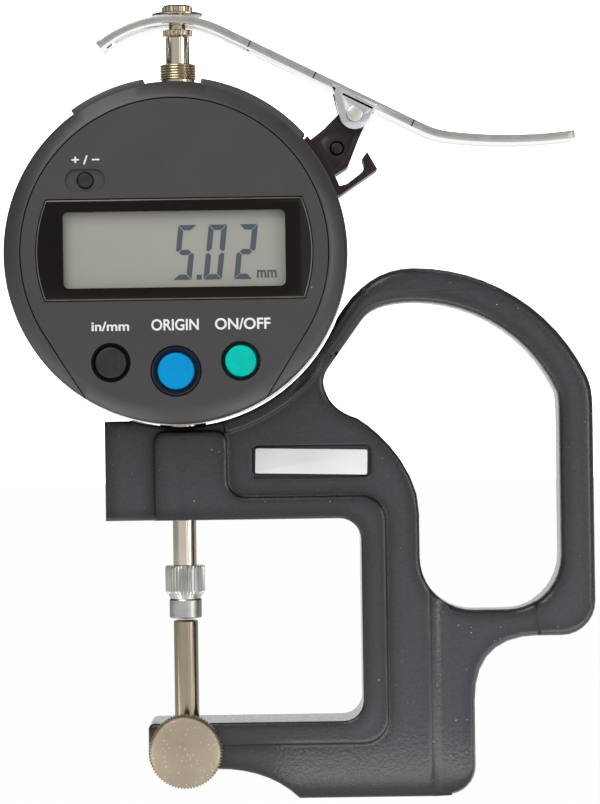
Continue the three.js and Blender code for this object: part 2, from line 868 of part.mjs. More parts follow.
function stem() {
  const bore = spindleRadius + fitGap;
  const wall = headZ - caseRadius + caseWall;
  const seat = wall + 3 * fitGap;
  return turnedZ([
    [bore, stemBottom], [stemRadius, stemBottom], [stemRadius, seat], [stemFlange, seat],
    [stemFlange, seat + stemFlangeHeight], [bore, seat + stemFlangeHeight], [bore, stemBottom],
  ]);
}

addPiece('stem', stem(), steel());

function topBush() {
  const bore = spindleRadius + fitGap;
  const wall = headZ + caseRadius - caseWall;
  const seat = wall - 2 * fitGap;
  const under = seat - bushFlangeHeight;
  const threadBottom = bushTop - threadTurns * threadPitch;
  const root = bushRadius - threadDepth;
  const profile = [[bore, under], [bushFlange, under], [bushFlange, seat], [root, seat]];
  for (let n = 0; n < threadTurns; n += 1) {
    const z = threadBottom + n * threadPitch;
    profile.push([root, z], [bushRadius, z + threadPitch / 2]);
  }
  profile.push([root, bushTop], [bore, bushTop], [bore, under]);
  return turnedZ(profile, 16);
}

addPiece('top_bush', topBush(), nickel());

// HEAD CASING

function rearCase() {
  const inner = caseRadius - caseWall;
  const lip = caseRadius - lipWidth;
  const body = turnedY([
    [inner, caseFront], [caseRadius, caseFront], [caseRadius, caseBack - 0.6], [caseRadius - 0.6, caseBack],
    [lip, caseBack], [lip, caseBack - lipThickness], [inner, caseBack - lipThickness], [inner, caseFront],
  ], headX, headZ, roundSides);
  const portZ = portHeight / 2 + fitGap;
  const portY = portWidth / 2 + fitGap;
  return shaped(body, {
    cut: [
      rodZ(stemRadius + fitGap, headZ - caseRadius - toolReach, headZ - caseRadius + 3),
      rodZ(bushRadius + fitGap, headZ + caseRadius - 3, headZ + caseRadius + toolReach, 0, 0, tinySides),
      block(
        headX - caseRadius - toolReach, headX - caseRadius + 2.4,
        portMiddle - portY, portMiddle + portY, headZ - portZ, headZ + portZ,
      ),
      ...coverScrewPlaces().map(([x, z]) => (
        rodY(screwShank + fitGap, 0, caseBack + toolReach, x, z, tinySides)
      )),
    ],
  });
}

function coverScrewPlaces() {
  return Array.from({ length: coverScrews }, (_, n) => {
    const angle = (coverScrewAngle + (n * 360) / coverScrews) * degree;
    return [headX + coverScrewCircle * Math.cos(angle), headZ + coverScrewCircle * Math.sin(angle)];
  });
}

addPiece('rear_case', rearCase(), finish(0xb4b5b6, 0.3, 1));

// Turned shape that the bezel and the panel inside it share: flat face, sloping edge, short wall
function frontShell() {
  const back = caseFront - fitGap;
  const inner = bezelRadius - bezelWall;
  return turnedY([
    [0, bezelFront], [bezelFlat, bezelFront], [bezelRadius - 0.4, bezelFront + bezelSlope],
    [bezelRadius, bezelFront + bezelSlope + 0.5], [bezelRadius, back], [inner, back],
    [inner, bezelFront + panelThickness + 0.8], [inner - 1.2, bezelFront + panelThickness],
    [0, bezelFront + panelThickness],
  ], headX, headZ, roundSides);
}

// The seam round the panel: most of a circle, then straight out to the rim at the bottom
function seamOutline(margin) {
  const outline = new THREE.Shape();
  outline.absarc(
    headX, headZ, seamRadius + margin, -seamAngle * degree, (180 + seamAngle) * degree, false,
  );
  outline.lineTo(headX - seamEndX - margin, headZ + seamEndZ);
  outline.lineTo(headX + seamEndX + margin, headZ + seamEndZ);
  outline.closePath();
  return slab(outline, bezelFront - toolReach, caseFront + toolReach);
}

function frontBezel() {
  const back = caseFront - fitGap;
  const lands = landAngles.map(([from, to]) => (
    slab(ringStretch(bezelRadius - 0.6, bezelRadius + landHeight, from, to), bezelFront + bezelSlope, back)
  ));
  return shaped(frontShell(), { add: lands, cut: [seamOutline(seamGap)] });
}

addPiece('front_bezel', frontBezel(), darkPlastic());

function windowOutline(margin) {
  const radius = windowRadius + margin;
  const half = windowHeight / 2 + margin;
  const angle = Math.asin(half / radius);
  const outline = new THREE.Shape();
  outline.absarc(0, 0, radius, -angle, angle, false);
  outline.absarc(0, 0, radius, Math.PI - angle, Math.PI + angle, false);
  outline.closePath();
  return outline;
}

function frontPanel() {
  const back = bezelFront + panelThickness;
  const windowHole = slab(windowOutline(seamGap), bezelFront - toolReach, back + toolReach);
  windowHole.translate(headX, 0, headZ + windowRise);
  const keyHoles = keys.map(({ x, z, skirt }) => (
    rodY(skirt + seamGap, bezelFront - toolReach, back + toolReach, headX + x, headZ + z)
  ));
  const [dishX, dishZ] = [headX + signKey.x, headZ + signKey.z];
  const dish = roundedBar(dishX, dishZ, signDishLength, signDishHeight, signDishHeight / 2 - 0.01);
  return shaped(frontShell(), {
    keep: [seamOutline(0)],
    cut: [
      windowHole,
      ...keyHoles,
      slab(dish, bezelFront - toolReach, bezelFront + signDishDepth),
      rodY(signKey.cap + seamGap, bezelFront - toolReach, back + toolReach, dishX, dishZ, 16),
    ],
  });
}

addPiece('front_panel', frontPanel(), darkPlastic());

// DISPLAY

function displayWindow() {
  const outline = windowOutline(0);
  outline.holes.push(roundedBar(0, 0, displayWidth, displayHeight, displayCorner));
  const geometry = slab(outline, windowFront, windowFront + windowThickness);
  geometry.translate(headX, 0, headZ + windowRise);
  return geometry;
}

addPiece('display_window', displayWindow(), finish(0x1b1514, 0.12, 0));

const displayFront = windowFront + windowThickness + fitGap;
const displayBack = displayFront + displayThickness;

function displayPanel() {
  const [halfX, halfZ] = [displayWidth / 2 + displayMargin, displayHeight / 2 + displayMargin];
  const z = headZ + windowRise;
  return block(headX - halfX, headX + halfX, displayFront, displayBack, z - halfZ, z + halfZ);
}

addPiece('display_panel', displayPanel(), finish(0x9d9d96, 0.2, 0));

function displayConnector() {
  const half = displayWidth / 2 - 1.6;
  const z = headZ + windowRise - displayHeight / 2 + 0.4;
  return block(headX - half, headX + half, displayBack + fitGap, boardFront - fitGap, z - 1, z + 1);
}

addPiece('display_connector', displayConnector(), finish(0x3a3a3a, 0.7, 0));

// KEYS

const keyBack = bezelFront + panelThickness + fitGap + keyFlange;
const domeFront = keyBack + keyTravel + 2 * seatGap;

function keyCap({ x, z, cap }) {
  const round = 0.3;
  const flange = cap + 0.4;
  return turnedY([
    [0, keyFront], [cap - round, keyFront], [cap, keyFront + round], [cap, keyBack - keyFlange],
    [flange, keyBack - keyFlange], [flange, keyBack], [0, keyBack],
  ], headX + x, headZ + z);
}

function keySkirt({ x, z, cap, skirt }) {
  const inner = cap + seamGap;
  const back = bezelFront + panelThickness;
  return turnedY([
    [inner, skirtFront + 0.4], [skirt, skirtFront], [skirt, back], [inner, back], [inner, skirtFront + 0.4],
  ], headX + x, headZ + z);
}

for (const key of keys) {
  addPiece(`${key.name}_key`, keyCap(key), finish(key.color, 0.4, 0));
  addPiece(`${key.name}_key_skirt`, keySkirt(key), finish(key.skirtColor, 0.6, 0));
}

function signKeyCap() {
  const front = bezelFront + signDishDepth - 0.6;
  const { x, z, cap } = signKey;
  const flange = cap + 0.6;
  return turnedY([
    [0, front], [cap - 0.2, front], [cap, front + 0.2], [cap, keyBack - keyFlange],
    [flange, keyBack - keyFlange], [flange, keyBack], [0, keyBack],
  ], headX + x, headZ + z, 16);
}

addPiece('sign_key', signKeyCap(), finish(signKey.color, 0.45, 0));

function keypadMembrane() {
  const back = boardFront - fitGap;
  const pads = keys.map(({ x, z, skirt }) => rodY(skirt + 0.4, domeFront, back, headX + x, headZ + z, 16));
  const z = keys[0].z;
  const bar = block(headX + keys[0].x, headX + keys[2].x, domeFront, back, headZ + z - 2, headZ + z + 2);
  return shaped(bar, { add: pads });
}

addPiece('keypad_membrane', keypadMembrane(), finish(0x6a6a68, 0.8, 0));

addPiece(
  'sign_key_dome',
  rodY(signKey.cap + 1, domeFront, boardFront - fitGap, headX + signKey.x, headZ + signKey.z, 16),
  finish(0x6a6a68, 0.8, 0),
);

// BOARDS AND MEASURING SYSTEM

const boardBack = boardFront + boardThickness;

addPiece(
  'main_board',
  rodY(boardRadius, boardFront, boardBack, headX, headZ, 36),
  finish(0x1e5a3c, 0.5, 0),
);

function scaleCarrier() {
  const half = carrierWidth / 2;
  const body = block(-half, half, carrierFront, carrierBack, carrierBottom, carrierTop);
  const bore = spindleRadius + seamGap;
  return shaped(body, { cut: [rodZ(bore, carrierBottom - toolReach, carrierTop + toolReach, 0, 0, 16)] });
}

addPiece('scale_carrier', scaleCarrier(), finish(0x7c7f82, 0.4, 0.8));

const scaleBack = carrierFront - fitGap;
const scaleFront = scaleBack - scaleThickness;

addPiece(
  'measuring_scale',
  block(-scaleWidth / 2, scaleWidth / 2, scaleFront, scaleBack, carrierBottom, carrierTop),
  finish(0xb89b5a, 0.3, 0.5),
);

function detectorBoard() {
  const back = scaleFront - detectorGap;
  const front = back - detectorThickness;
  const half = detectorWidth / 2;
  const post = (x, z) => rodY(1.2, boardBack + fitGap, front + 0.2, x, z, tinySides);
  return shaped(block(-half, half, front, back, detectorBottom, detectorTop), {
    add: [
      post(1.5 - half, detectorBottom + 2), post(half - 1.5, detectorBottom + 2),
      post(1.5 - half, detectorTop - 2), post(half - 1.5, detectorTop - 2),
    ],
  });
}

addPiece('detector_board', detectorBoard(), finish(0x27604a, 0.5, 0));

// GUIDE: a pin on the carrier in a slotted rail keeps the spindle from turning

const carrierSide = carrierWidth / 2;

addPiece(
  'guide_pin',
  rodX(guidePinRadius, carrierSide + seatGap, carrierSide + seatGap + guidePinLength, 0, guideZ),
  steel(),
);

function guideRail() {
  const end = 1.6;
  const slotHalf = guidePinRadius + 0.35;
  const slotBottom = guideZ - guidePinRadius - fitGap;
  const slotTop = guideZ + spindleTravel + guidePinRadius + fitGap;
  const back = caseBack - seatGap;
  const body = block(guideInner, guideOuter, -guideHalf, back, slotBottom - end, slotTop + end);
  return shaped(body, {
    cut: [block(guideInner - toolReach, guideOuter + toolReach, -slotHalf, slotHalf, slotBottom, slotTop)],
  });
}

addPiece('guide_rail', guideRail(), finish(0x8c8e90, 0.4, 0.9));

// RETURN SPRING, stretched between a post on the cover and a hook on the carrier

class Helix extends THREE.Curve {
  constructor(x, y, z0, z1, radius, turns) {
    super();
    Object.assign(this, { x, y, z0, z1, radius, turns });
  }

  getPoint(t, target = new THREE.Vector3()) {
    const angle = 2 * Math.PI * this.turns * t;
    const { x, y, z0, z1, radius } = this;
    return target.set(x + radius * Math.cos(angle), y + radius * Math.sin(angle), z0 + (z1 - z0) * t);
  }
}

// A wire along a helix as one unbroken closed tube
function coiledWire(curve, wire, stepsPerTurn, sides) {
  const rings = curve.turns * stepsPerTurn;
  const places = [];
  const index = [];
  const centre = new THREE.Vector3();
  for (let n = 0; n <= rings; n += 1) {
    const angle = (2 * Math.PI * n) / stepsPerTurn;
    curve.getPoint(n / rings, centre);
    for (let s = 0; s < sides; s += 1) {
      const turn = (2 * Math.PI * s) / sides;
      const out = wire * Math.cos(turn);
      const up = wire * Math.sin(turn);
      places.push(centre.x + out * Math.cos(angle), centre.y + out * Math.sin(angle), centre.z + up);
    }
  }
  const ring = (n, s) => n * sides + (s % sides);
  for (let n = 0; n < rings; n += 1) {
    for (let s = 0; s < sides; s += 1) {
      index.push(ring(n, s), ring(n, s + 1), ring(n + 1, s));
      index.push(ring(n, s + 1), ring(n + 1, s + 1), ring(n + 1, s));
    }
  }
  for (let s = 1; s < sides - 1; s += 1) {
    index.push(0, s + 1, s);
    index.push(ring(rings, 0), ring(rings, s), ring(rings, s + 1));
  }
  const geometry = new THREE.BufferGeometry();
  geometry.setAttribute('position', new THREE.Float32BufferAttribute(places, 3));
  geometry.setIndex(index);
  return outward(geometry);
}

function returnSpring() {
  const seat = springPost + springWire + fitGap;
  const [low, high] = [springFoot + seat, springHook - seat];
  const helix = new Helix(springX, springY, low, high, springRadius, springTurns);
  const pitch = (helix.z1 - helix.z0) / springTurns;
  console.log(`return spring: least gap between turns ${(pitch - 2 * springWire).toFixed(2)} mm`);
  return coiledWire(helix, springWire, 7, 4);
}

addPiece('return_spring', returnSpring(), steel());

addPiece(
  'spring_hook',
  rodX(springPost, springX - springPost, -carrierSide - seatGap, springY, springHook),
  steel(),
);

addPiece(
  'spring_post',
  rodY(springPost, springY - springRadius, caseBack - seatGap, springX, springFoot, tinySides),
  steel(),
);

// BACK COVER, BATTERY AND PLUG

const coverFront = caseBack + fitGap;
const coverBack = coverFront + coverThickness;

function backCover() {
  const body = turnedY([
    [0, coverFront], [coverRadius, coverFront], [coverRadius, coverBack - 0.5],
    [coverRadius - 0.5, coverBack], [0, coverBack],
  ], headX, headZ, roundSides);
  const [before, behind] = [coverFront - toolReach, coverBack + toolReach];
  const screwSeat = coverBack - screwHeadThickness - 0.2;
  const cut = [rodY(batteryCoverRadius + fitGap, before, behind, batteryX, batteryZ)];
  for (const [x, z] of coverScrewPlaces()) {
    cut.push(rodY(screwShank + fitGap, before, behind, x, z, tinySides));
    cut.push(rodY(screwHeadRadius + fitGap, screwSeat, behind, x, z, 16));
  }
  return shaped(body, { cut });
}

addPiece('back_cover', backCover(), finish(0x3c3c40, 0.5, 0.1));

function coverScrew(x, z) {
  const head = coverBack - 0.1 - screwHeadThickness;
  const body = turnedY([
    [0, caseBack - lipThickness], [screwShank, caseBack - lipThickness], [screwShank, head],
    [screwHeadRadius, head], [screwHeadRadius, coverBack - 0.1], [0, coverBack - 0.1],
  ], 0, 0, 16);
  const slotDepth = 0.4;
  const slot = block(-1.2, 1.2, coverBack - slotDepth, coverBack + toolReach, -0.25, 0.25);
  const cross = block(-0.25, 0.25, coverBack - slotDepth, coverBack + toolReach, -1.2, 1.2);
  const geometry = shaped(body, { cut: [slot, cross] });
  geometry.translate(x, 0, z);
  return geometry;
}

coverScrewPlaces().forEach(([x, z], n) => {
  addPiece(`cover_screw_${n + 1}`, coverScrew(x, z), finish(0x303032, 0.4, 0.9));
});

const batteryBack = batteryFront + batteryThickness;

addPiece(
  'battery',
  rodY(batteryRadius, batteryFront, batteryBack, batteryX, batteryZ),
  finish(0xc9c9c4, 0.25, 1),
);

function batteryHolder() {
  const inner = holderRadius - holderWall;
  const rim = caseBack - seatGap;
  const top = batteryFront - 0.9;
  const under = top - 0.5;
  return turnedY([
    [0, under], [holderRadius, under], [holderRadius, rim], [inner, rim], [inner, top], [0, top],
  ], batteryX, batteryZ);
}

addPiece('battery_holder', batteryHolder(), blackPlastic());

addPiece(
  'battery_contact',
  rodY(contactRadius, batteryFront - 0.6, batteryFront - fitGap, batteryX, batteryZ, 16),
  finish(0xc8b070, 0.3, 1),
);

function batteryCover() {
  const body = rodY(batteryCoverRadius, coverFront, coverBack, batteryX, batteryZ);
  const [halfX, halfZ] = [coinSlotLength / 2, coinSlotWidth / 2];
  const coin = block(
    batteryX - halfX, batteryX + halfX, coverBack - coinSlotDepth, coverBack + toolReach,
    batteryZ - halfZ, batteryZ + halfZ,
  );
  return shaped(body, { cut: [coin] });
}

addPiece('battery_cover', batteryCover(), blackPlastic());

function dataConnector() {
  const outside = headX - caseRadius + portInset;
  const inside = outside + portDepth;
  const [halfY, halfZ] = [portWidth / 2, portHeight / 2];
  const [mouthY, mouthZ] = [halfY - portWall, halfZ - portWall];
  const body = block(outside, inside, portMiddle - halfY, portMiddle + halfY, headZ - halfZ, headZ + halfZ);
  const mouth = block(
    outside - toolReach, outside + portMouth, portMiddle - mouthY, portMiddle + mouthY,
    headZ - mouthZ, headZ + mouthZ,
  );
  return shaped(body, { cut: [mouth] });
}

addPiece('data_connector', dataConnector(), blackPlastic());

function portCover() {
  const outside = headX - caseRadius - portLip;
  const inside = headX - caseRadius + portInset - fitGap;
  const [halfY, halfZ] = [portWidth / 2, portHeight / 2];
  return block(outside, inside, portMiddle - halfY, portMiddle + halfY, headZ - halfZ, headZ + halfZ);
}

addPiece('port_cover', portCover(), blackPlastic());

// LIFTING LEVER

// The pivot stands off the rim of the case, and the strip's straight run passes over it
const rimX = headX + caseRadius * Math.cos(pivotAngle * degree);
const rimZ = headZ + caseRadius * Math.sin(pivotAngle * degree);
const pivotX = rimX + pivotStand * Math.cos(pivotAngle * degree);
const pivotZ = rimZ + pivotStand * Math.sin(pivotAngle * degree);
const leverBendX = pivotX + leverBendReach;
const archNormal = { x: Math.sin(leverSlope * degree), z: Math.cos(leverSlope * degree) };

function straightRun(x) {
  const startX = leverArchX + leverArch * archNormal.x;
  const startZ = leverArchZ + leverArch * archNormal.z;
  return startZ - (x - startX) * Math.tan(leverSlope * degree);
}

function leverStrip() {
  const first = {
    x: leverBendX + leverBend * archNormal.x,
    z: straightRun(leverBendX) + leverBend * archNormal.z,
  };
  const turn = leverBendEnd * degree;
  const second = {
    x: first.x + (leverEndRadius - leverBend) * Math.sin(turn),
    z: first.z + (leverEndRadius - leverBend) * Math.cos(turn),
  };
  const bendStart = (270 - leverSlope) * degree;
  const bendEnd = (270 - leverBendEnd) * degree;
  const end = (270 + leverEndRise) * degree;
  const archEnd = (90 - leverSlope) * degree;
  const tip = leverTip * degree;
  const outline = new THREE.Shape();
  outline.absarc(leverArchX, leverArchZ, leverArch, tip, archEnd, true);
  outline.absarc(first.x, first.z, leverBend, bendStart, bendEnd, false);
  outline.absarc(second.x, second.z, leverEndRadius, bendEnd, end, false);
  outline.absarc(second.x, second.z, leverEndRadius + leverThickness, end, bendEnd, true);
  outline.absarc(first.x, first.z, leverBend + leverThickness, bendEnd, bendStart, true);
  outline.absarc(leverArchX, leverArchZ, leverArch - leverThickness, archEnd, tip, false);
  outline.closePath();
  return slab(outline, -leverWidth / 2, leverWidth / 2);
}

function earOutline() {
  const inside = leverThickness / 2;
  const left = { x: pivotX + earLeft, z: straightRun(pivotX + earLeft) - inside };
  const right = { x: pivotX + earRight, z: straightRun(pivotX + earRight) - inside };
  const from = touchPoint(left.x, left.z, pivotX, pivotZ, earRadius, -1);
  const to = touchPoint(right.x, right.z, pivotX, pivotZ, earRadius, 1);
  const outline = new THREE.Shape();
  outline.moveTo(left.x, left.z);
  outline.lineTo(from.x, from.z);
  outline.absarc(pivotX, pivotZ, earRadius, from.angle, to.angle, false);
  outline.lineTo(right.x, right.z);
  outline.closePath();
  return outline;
}

function lever() {
  const half = leverWidth / 2;
  const ear = earOutline();
  return shaped(leverStrip(), {
    add: [slab(ear, -half, earThickness - half), slab(ear, half - earThickness, half)],
    cut: [
      block(slotLeft, slotRight, -slotWidth / 2, slotWidth / 2, pivotZ + 4, liftHeadTop),
      rodY(pinRadius + fitGap, -half - toolReach, half + toolReach, pivotX, pivotZ, tinySides),
    ],
  });
}

addPiece('lever', lever(), chrome());

function leverPin() {
  const inner = leverWidth / 2 + fitGap;
  const outer = inner + pinHeadThickness;
  return turnedY([
    [0, -outer], [pinHeadRadius - 0.2, -outer], [pinHeadRadius, -outer + 0.2], [pinHeadRadius, -inner],
    [pinRadius, -inner], [pinRadius, inner], [pinHeadRadius, inner], [pinHeadRadius, outer - 0.2],
    [pinHeadRadius - 0.2, outer], [0, outer],
  ], pivotX, pivotZ, 16);
}

addPiece('lever_pin', leverPin(), chrome());

// BRACKET

// The bracket's outlines are drawn from the point of the rim that is nearest to the pivot
function bracketBody() {
  const foot = { x: rimX - 0.2, z: rimZ + 1.54 };
  const shoulder = { x: rimX + 4, z: rimZ + 5.14 };
  const neck = { x: rimX + 9.3, z: rimZ + 3.94 };
  const from = touchPoint(shoulder.x, shoulder.z, pivotX, pivotZ, bracketEye, 1);
  const to = touchPoint(neck.x, neck.z, pivotX, pivotZ, bracketEye, -1);
  const outline = new THREE.Shape();
  outline.moveTo(foot.x, foot.z);
  outline.lineTo(rimX + 2.4, rimZ + 3.54);
  outline.lineTo(shoulder.x, shoulder.z);
  outline.absarc(pivotX, pivotZ, bracketEye, from.angle, to.angle, true);
  outline.lineTo(neck.x, neck.z);
  outline.lineTo(rimX + 8.6, rimZ + 2.54);
  outline.lineTo(rimX + 6.4, rimZ - 2.96);
  outline.lineTo(rimX + 4, rimZ - 4.46);
  outline.closePath();
  return outline;
}

function bracketHook() {
  const outline = new THREE.Shape();
  outline.moveTo(rimX + 4.5, rimZ - 6.36);
  outline.lineTo(rimX + 6.2, rimZ - 5.96);
  outline.lineTo(rimX + 8.6, rimZ - 4.16);
  outline.quadraticCurveTo(rimX + 9.7, rimZ - 3.16, rimX + 8.9, rimZ - 1.66);
  outline.lineTo(rimX + 9.8, rimZ - 0.46);
  outline.lineTo(rimX + 11.5, rimZ - 3.46);
  outline.lineTo(rimX + 7.2, rimZ - 6.36);
  outline.lineTo(rimX + 4.9, rimZ - 7.96);
  outline.closePath();
  return outline;
}

function bracketPanel() {
  const outline = new THREE.Shape();
  outline.moveTo(rimX + 1.7, rimZ + 1.54);
  outline.lineTo(rimX + 4.6, rimZ + 3.84);
  outline.quadraticCurveTo(rimX + 6.2, rimZ + 2.74, rimX + 7.7, rimZ + 2.64);
  outline.lineTo(rimX + 5.7, rimZ - 2.36);
  outline.lineTo(rimX + 4.2, rimZ - 3.26);
  outline.closePath();
  return outline;
}

function leverBracket() {
  const half = bracketThickness / 2;
  const inner = caseRadius + fitGap;
  const from = pivotAngle - bracketBelow / inner / degree;
  const to = pivotAngle + bracketAbove / inner / degree;
  return shaped(slab(bracketBody(), -half, half), {
    add: [
      slab(ringStretch(inner, inner + bracketBase, from, to), -half, half),
      slab(bracketHook(), -half, half),
    ],
    cut: [
      rodY(inner, -half - toolReach, half + toolReach, headX, headZ, 2 * roundSides),
      rodY(pinRadius + fitGap, -half - toolReach, half + toolReach, pivotX, pivotZ, tinySides),
      slab(bracketPanel(), -half - toolReach, bracketRecess - half),
      slab(bracketPanel(), half - bracketRecess, half + toolReach),
      rodY(
        bracketPinRadius + fitGap, -half - toolReach, half - bracketPinWall,
        rimX + bracketPinX, rimZ + bracketPinZ, tinySides,
      ),
    ],
  });
}

addPiece('lever_bracket', leverBracket(), blackPlastic());

function bracketPin() {
  const front = fitGap - bracketThickness / 2;
  const back = bracketThickness / 2 - bracketPinWall - fitGap;
  return rodY(bracketPinRadius, front, back, rimX + bracketPinX, rimZ + bracketPinZ, 16);
}

addPiece('bracket_pin', bracketPin(), blackPlastic());

export default group;
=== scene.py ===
# %% [markdown]
# A digital thickness gauge: a round indicator head clamped in a painted casting, with a chromed
# lever that lifts its spindle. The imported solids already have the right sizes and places. This
# lesson dresses them: round pieces are turned again with more steps, the casting gets soft edges,
# and every surface gets a finish. All places are in millimetres from the middle of the foot.

# %% Load the solids
import json
import math

import bpy
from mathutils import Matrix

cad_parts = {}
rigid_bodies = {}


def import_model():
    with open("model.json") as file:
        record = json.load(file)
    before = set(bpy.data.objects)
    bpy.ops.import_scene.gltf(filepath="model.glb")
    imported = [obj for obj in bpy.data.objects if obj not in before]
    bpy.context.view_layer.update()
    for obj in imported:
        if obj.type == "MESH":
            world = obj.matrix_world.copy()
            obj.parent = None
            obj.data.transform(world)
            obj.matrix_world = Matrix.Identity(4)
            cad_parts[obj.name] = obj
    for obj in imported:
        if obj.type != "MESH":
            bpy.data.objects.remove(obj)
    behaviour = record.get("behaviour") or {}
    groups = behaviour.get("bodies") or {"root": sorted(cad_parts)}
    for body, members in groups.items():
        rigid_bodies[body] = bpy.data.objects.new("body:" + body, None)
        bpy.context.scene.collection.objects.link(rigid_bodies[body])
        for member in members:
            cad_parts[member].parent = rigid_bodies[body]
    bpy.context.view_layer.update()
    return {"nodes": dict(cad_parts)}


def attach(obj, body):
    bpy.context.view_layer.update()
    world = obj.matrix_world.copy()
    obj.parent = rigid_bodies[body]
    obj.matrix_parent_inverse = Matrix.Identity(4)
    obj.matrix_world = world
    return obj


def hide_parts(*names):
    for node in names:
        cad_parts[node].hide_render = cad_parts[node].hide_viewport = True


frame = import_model()
NODES = frame["nodes"]

# %% [markdown]
# The gauge is built round two axes. The spindle's axis is upright, 32 mm left of the middle of the
# foot. The dial's axis points at the viewer, and its height is that of the head's centre.

# %% Lengths that the whole gauge shares
MM = 0.001
SPINDLE_X = -32.0
HEAD_X = SPINDLE_X - 0.4
HEAD_Z = 93.5
LABEL_Y = -5.7


def metres(*values):
    return tuple(value * MM for value in values)


# %% [markdown]
# Blender's operators act on everything that is selected, so each step starts by clearing the
# selection. These helpers do that, and apply what an operator leaves on an object, so that every
# finished piece has its place in its mesh.

# %% Helpers for selecting, adding and placing
WELD = 0.002 * MM


def deselect_all():
    if bpy.context.mode != "OBJECT":
        bpy.ops.object.mode_set(mode="OBJECT")
    bpy.ops.object.select_all(action="DESELECT")


def only(piece):
    deselect_all()
    piece.select_set(True)
    bpy.context.view_layer.objects.active = piece


def added(name, operator, **settings):
    """Calls an operator that adds an object, and names that object."""
    deselect_all()
    operator(**settings)
    piece = bpy.context.object
    piece.name = name
    return piece


def place(piece, x=0.0, y=0.0, z=0.0, turn=(0.0, 0.0, 0.0)):
    only(piece)
    piece.rotation_euler = [math.radians(angle) for angle in turn]
    piece.location = metres(x, y, z)
    bpy.ops.object.transform_apply(location=True, rotation=True, scale=True)
    return piece


def edit_all():
    """Opens the active piece in edit mode and selects all of it."""
    bpy.ops.object.mode_set(mode="EDIT")
    bpy.ops.mesh.select_all(action="SELECT")


def close_edit(weld=True):
    """Merges doubles, turns the faces outwards and leaves edit mode."""
    bpy.ops.mesh.select_all(action="SELECT")
    if weld:
        bpy.ops.mesh.remove_doubles(threshold=WELD)
    bpy.ops.mesh.normals_make_consistent(inside=False)
    bpy.ops.object.mode_set(mode="OBJECT")


def pick(piece, test, kind="VERT"):
    """Opens the piece in edit mode with only the vertices, edges or faces that pass the test selected."""
    only(piece)
    bpy.ops.object.mode_set(mode="EDIT")
    bpy.ops.mesh.select_mode(type=kind)
    bpy.ops.mesh.select_all(action="DESELECT")
    bpy.ops.object.mode_set(mode="OBJECT")
    mesh = piece.data
    for element in {"VERT": mesh.vertices, "EDGE": mesh.edges, "FACE": mesh.polygons}[kind]:
        element.select = test(element)
    bpy.ops.object.mode_set(mode="EDIT")


def apply_modifier(piece, kind, **settings):
    only(piece)
    bpy.ops.object.modifier_add(type=kind)
    modifier = piece.modifiers[-1]
    for name, value in settings.items():
        setattr(modifier, name, value)
    bpy.ops.object.modifier_apply(modifier=modifier.name)
    return piece


# %% [markdown]
# Most of the head is turned work. On a lathe a piece is described by its profile, half of its
# section, and Blender's Spin operator sweeps such a profile round an axis. The profile is drawn as
# a chain of points extruded one from the next, and the doubles where it closes are merged.

# %% Turned pieces
def turned(name, profile, steps=96):
    """A piece turned about Z from (radius, height) points in millimetres."""
    piece = added(name, bpy.ops.mesh.primitive_plane_add, size=MM)
    edit_all()
    bpy.ops.mesh.select_mode(type="VERT")
    bpy.ops.mesh.merge(type="CENTER")
    bpy.ops.transform.translate(value=metres(profile[0][0], 0, profile[0][1]))
    for (r0, h0), (r1, h1) in zip(profile, profile[1:]):
        bpy.ops.mesh.extrude_region_move(TRANSFORM_OT_translate={"value": metres(r1 - r0, 0, h1 - h0)})
    edit_all()
    bpy.ops.mesh.spin(steps=steps, angle=2 * math.pi, center=(0, 0, 0), axis=(0, 0, 1))
    close_edit()
    return piece


def turned_front(name, profile, x, z, steps=96):
    """The same, about an axis that points at the viewer: the points are (radius, y)."""
    piece = turned(name, [(radius, -y) for radius, y in profile], steps)
    return place(piece, x, 0, z, turn=(90, 0, 0))


def knurled(piece, steps, least_radius, low, high, depth):
    """Presses straight teeth into a turned band: two columns of vertices in, two left out."""

    def in_groove(vertex):
        radius = math.hypot(vertex.co.x, vertex.co.y) / MM
        column = round(math.atan2(vertex.co.y, vertex.co.x) / (2 * math.pi) * steps) % 4
        return radius > least_radius and low <= vertex.co.z / MM <= high and column in (0, 1)

    pick(piece, in_groove)
    shrink = 1 - depth / least_radius
    bpy.ops.transform.resize(value=(shrink, shrink, 1), center_override=(0, 0, 0))
    bpy.ops.object.mode_set(mode="OBJECT")
    return piece


# %% [markdown]
# Flat work starts from a filled circle with as many corners as the outline needs. Each corner is
# moved to its place, and the face is extruded to its thickness. Openings are cut with the Boolean
# modifier, which is the quickest way to drill a hole in a finished body.

# %% Flat pieces and cutting
def plate(name, corners, front, back):
    """A plate in the X-Z plane from corners listed anticlockwise as seen from the front."""
    piece = added(
        name, bpy.ops.mesh.primitive_circle_add, vertices=len(corners), radius=MM, fill_type="NGON"
    )
    for vertex, (x, z) in zip(piece.data.vertices, corners):
        vertex.co = metres(x, front, z)
    edit_all()
    bpy.ops.mesh.extrude_region_move(TRANSFORM_OT_translate={"value": metres(0, back - front, 0)})
    close_edit(weld=False)
    return piece


def arc(x, z, radius, start, end, count):
    """Points along a circle, from one angle to another in degrees."""
    angles = [math.radians(start + (end - start) * n / count) for n in range(count + 1)]
    return [(x + radius * math.cos(a), z + radius * math.sin(a)) for a in angles]


def block(name, size, centre):
    piece = added(name, bpy.ops.mesh.primitive_cube_add, size=1)
    piece.scale = metres(*size)
    return place(piece, *centre)


def cylinder(name, radius, length, sides):
    return added(
        name, bpy.ops.mesh.primitive_cylinder_add, vertices=sides, radius=radius * MM, depth=length * MM
    )


def drum(name, radius, front, back, x, z, sides=160):
    """A short cylinder whose axis points at the viewer."""
    piece = cylinder(name, radius, back - front, sides)
    return place(piece, x, (front + back) / 2, z, turn=(90, 0, 0))


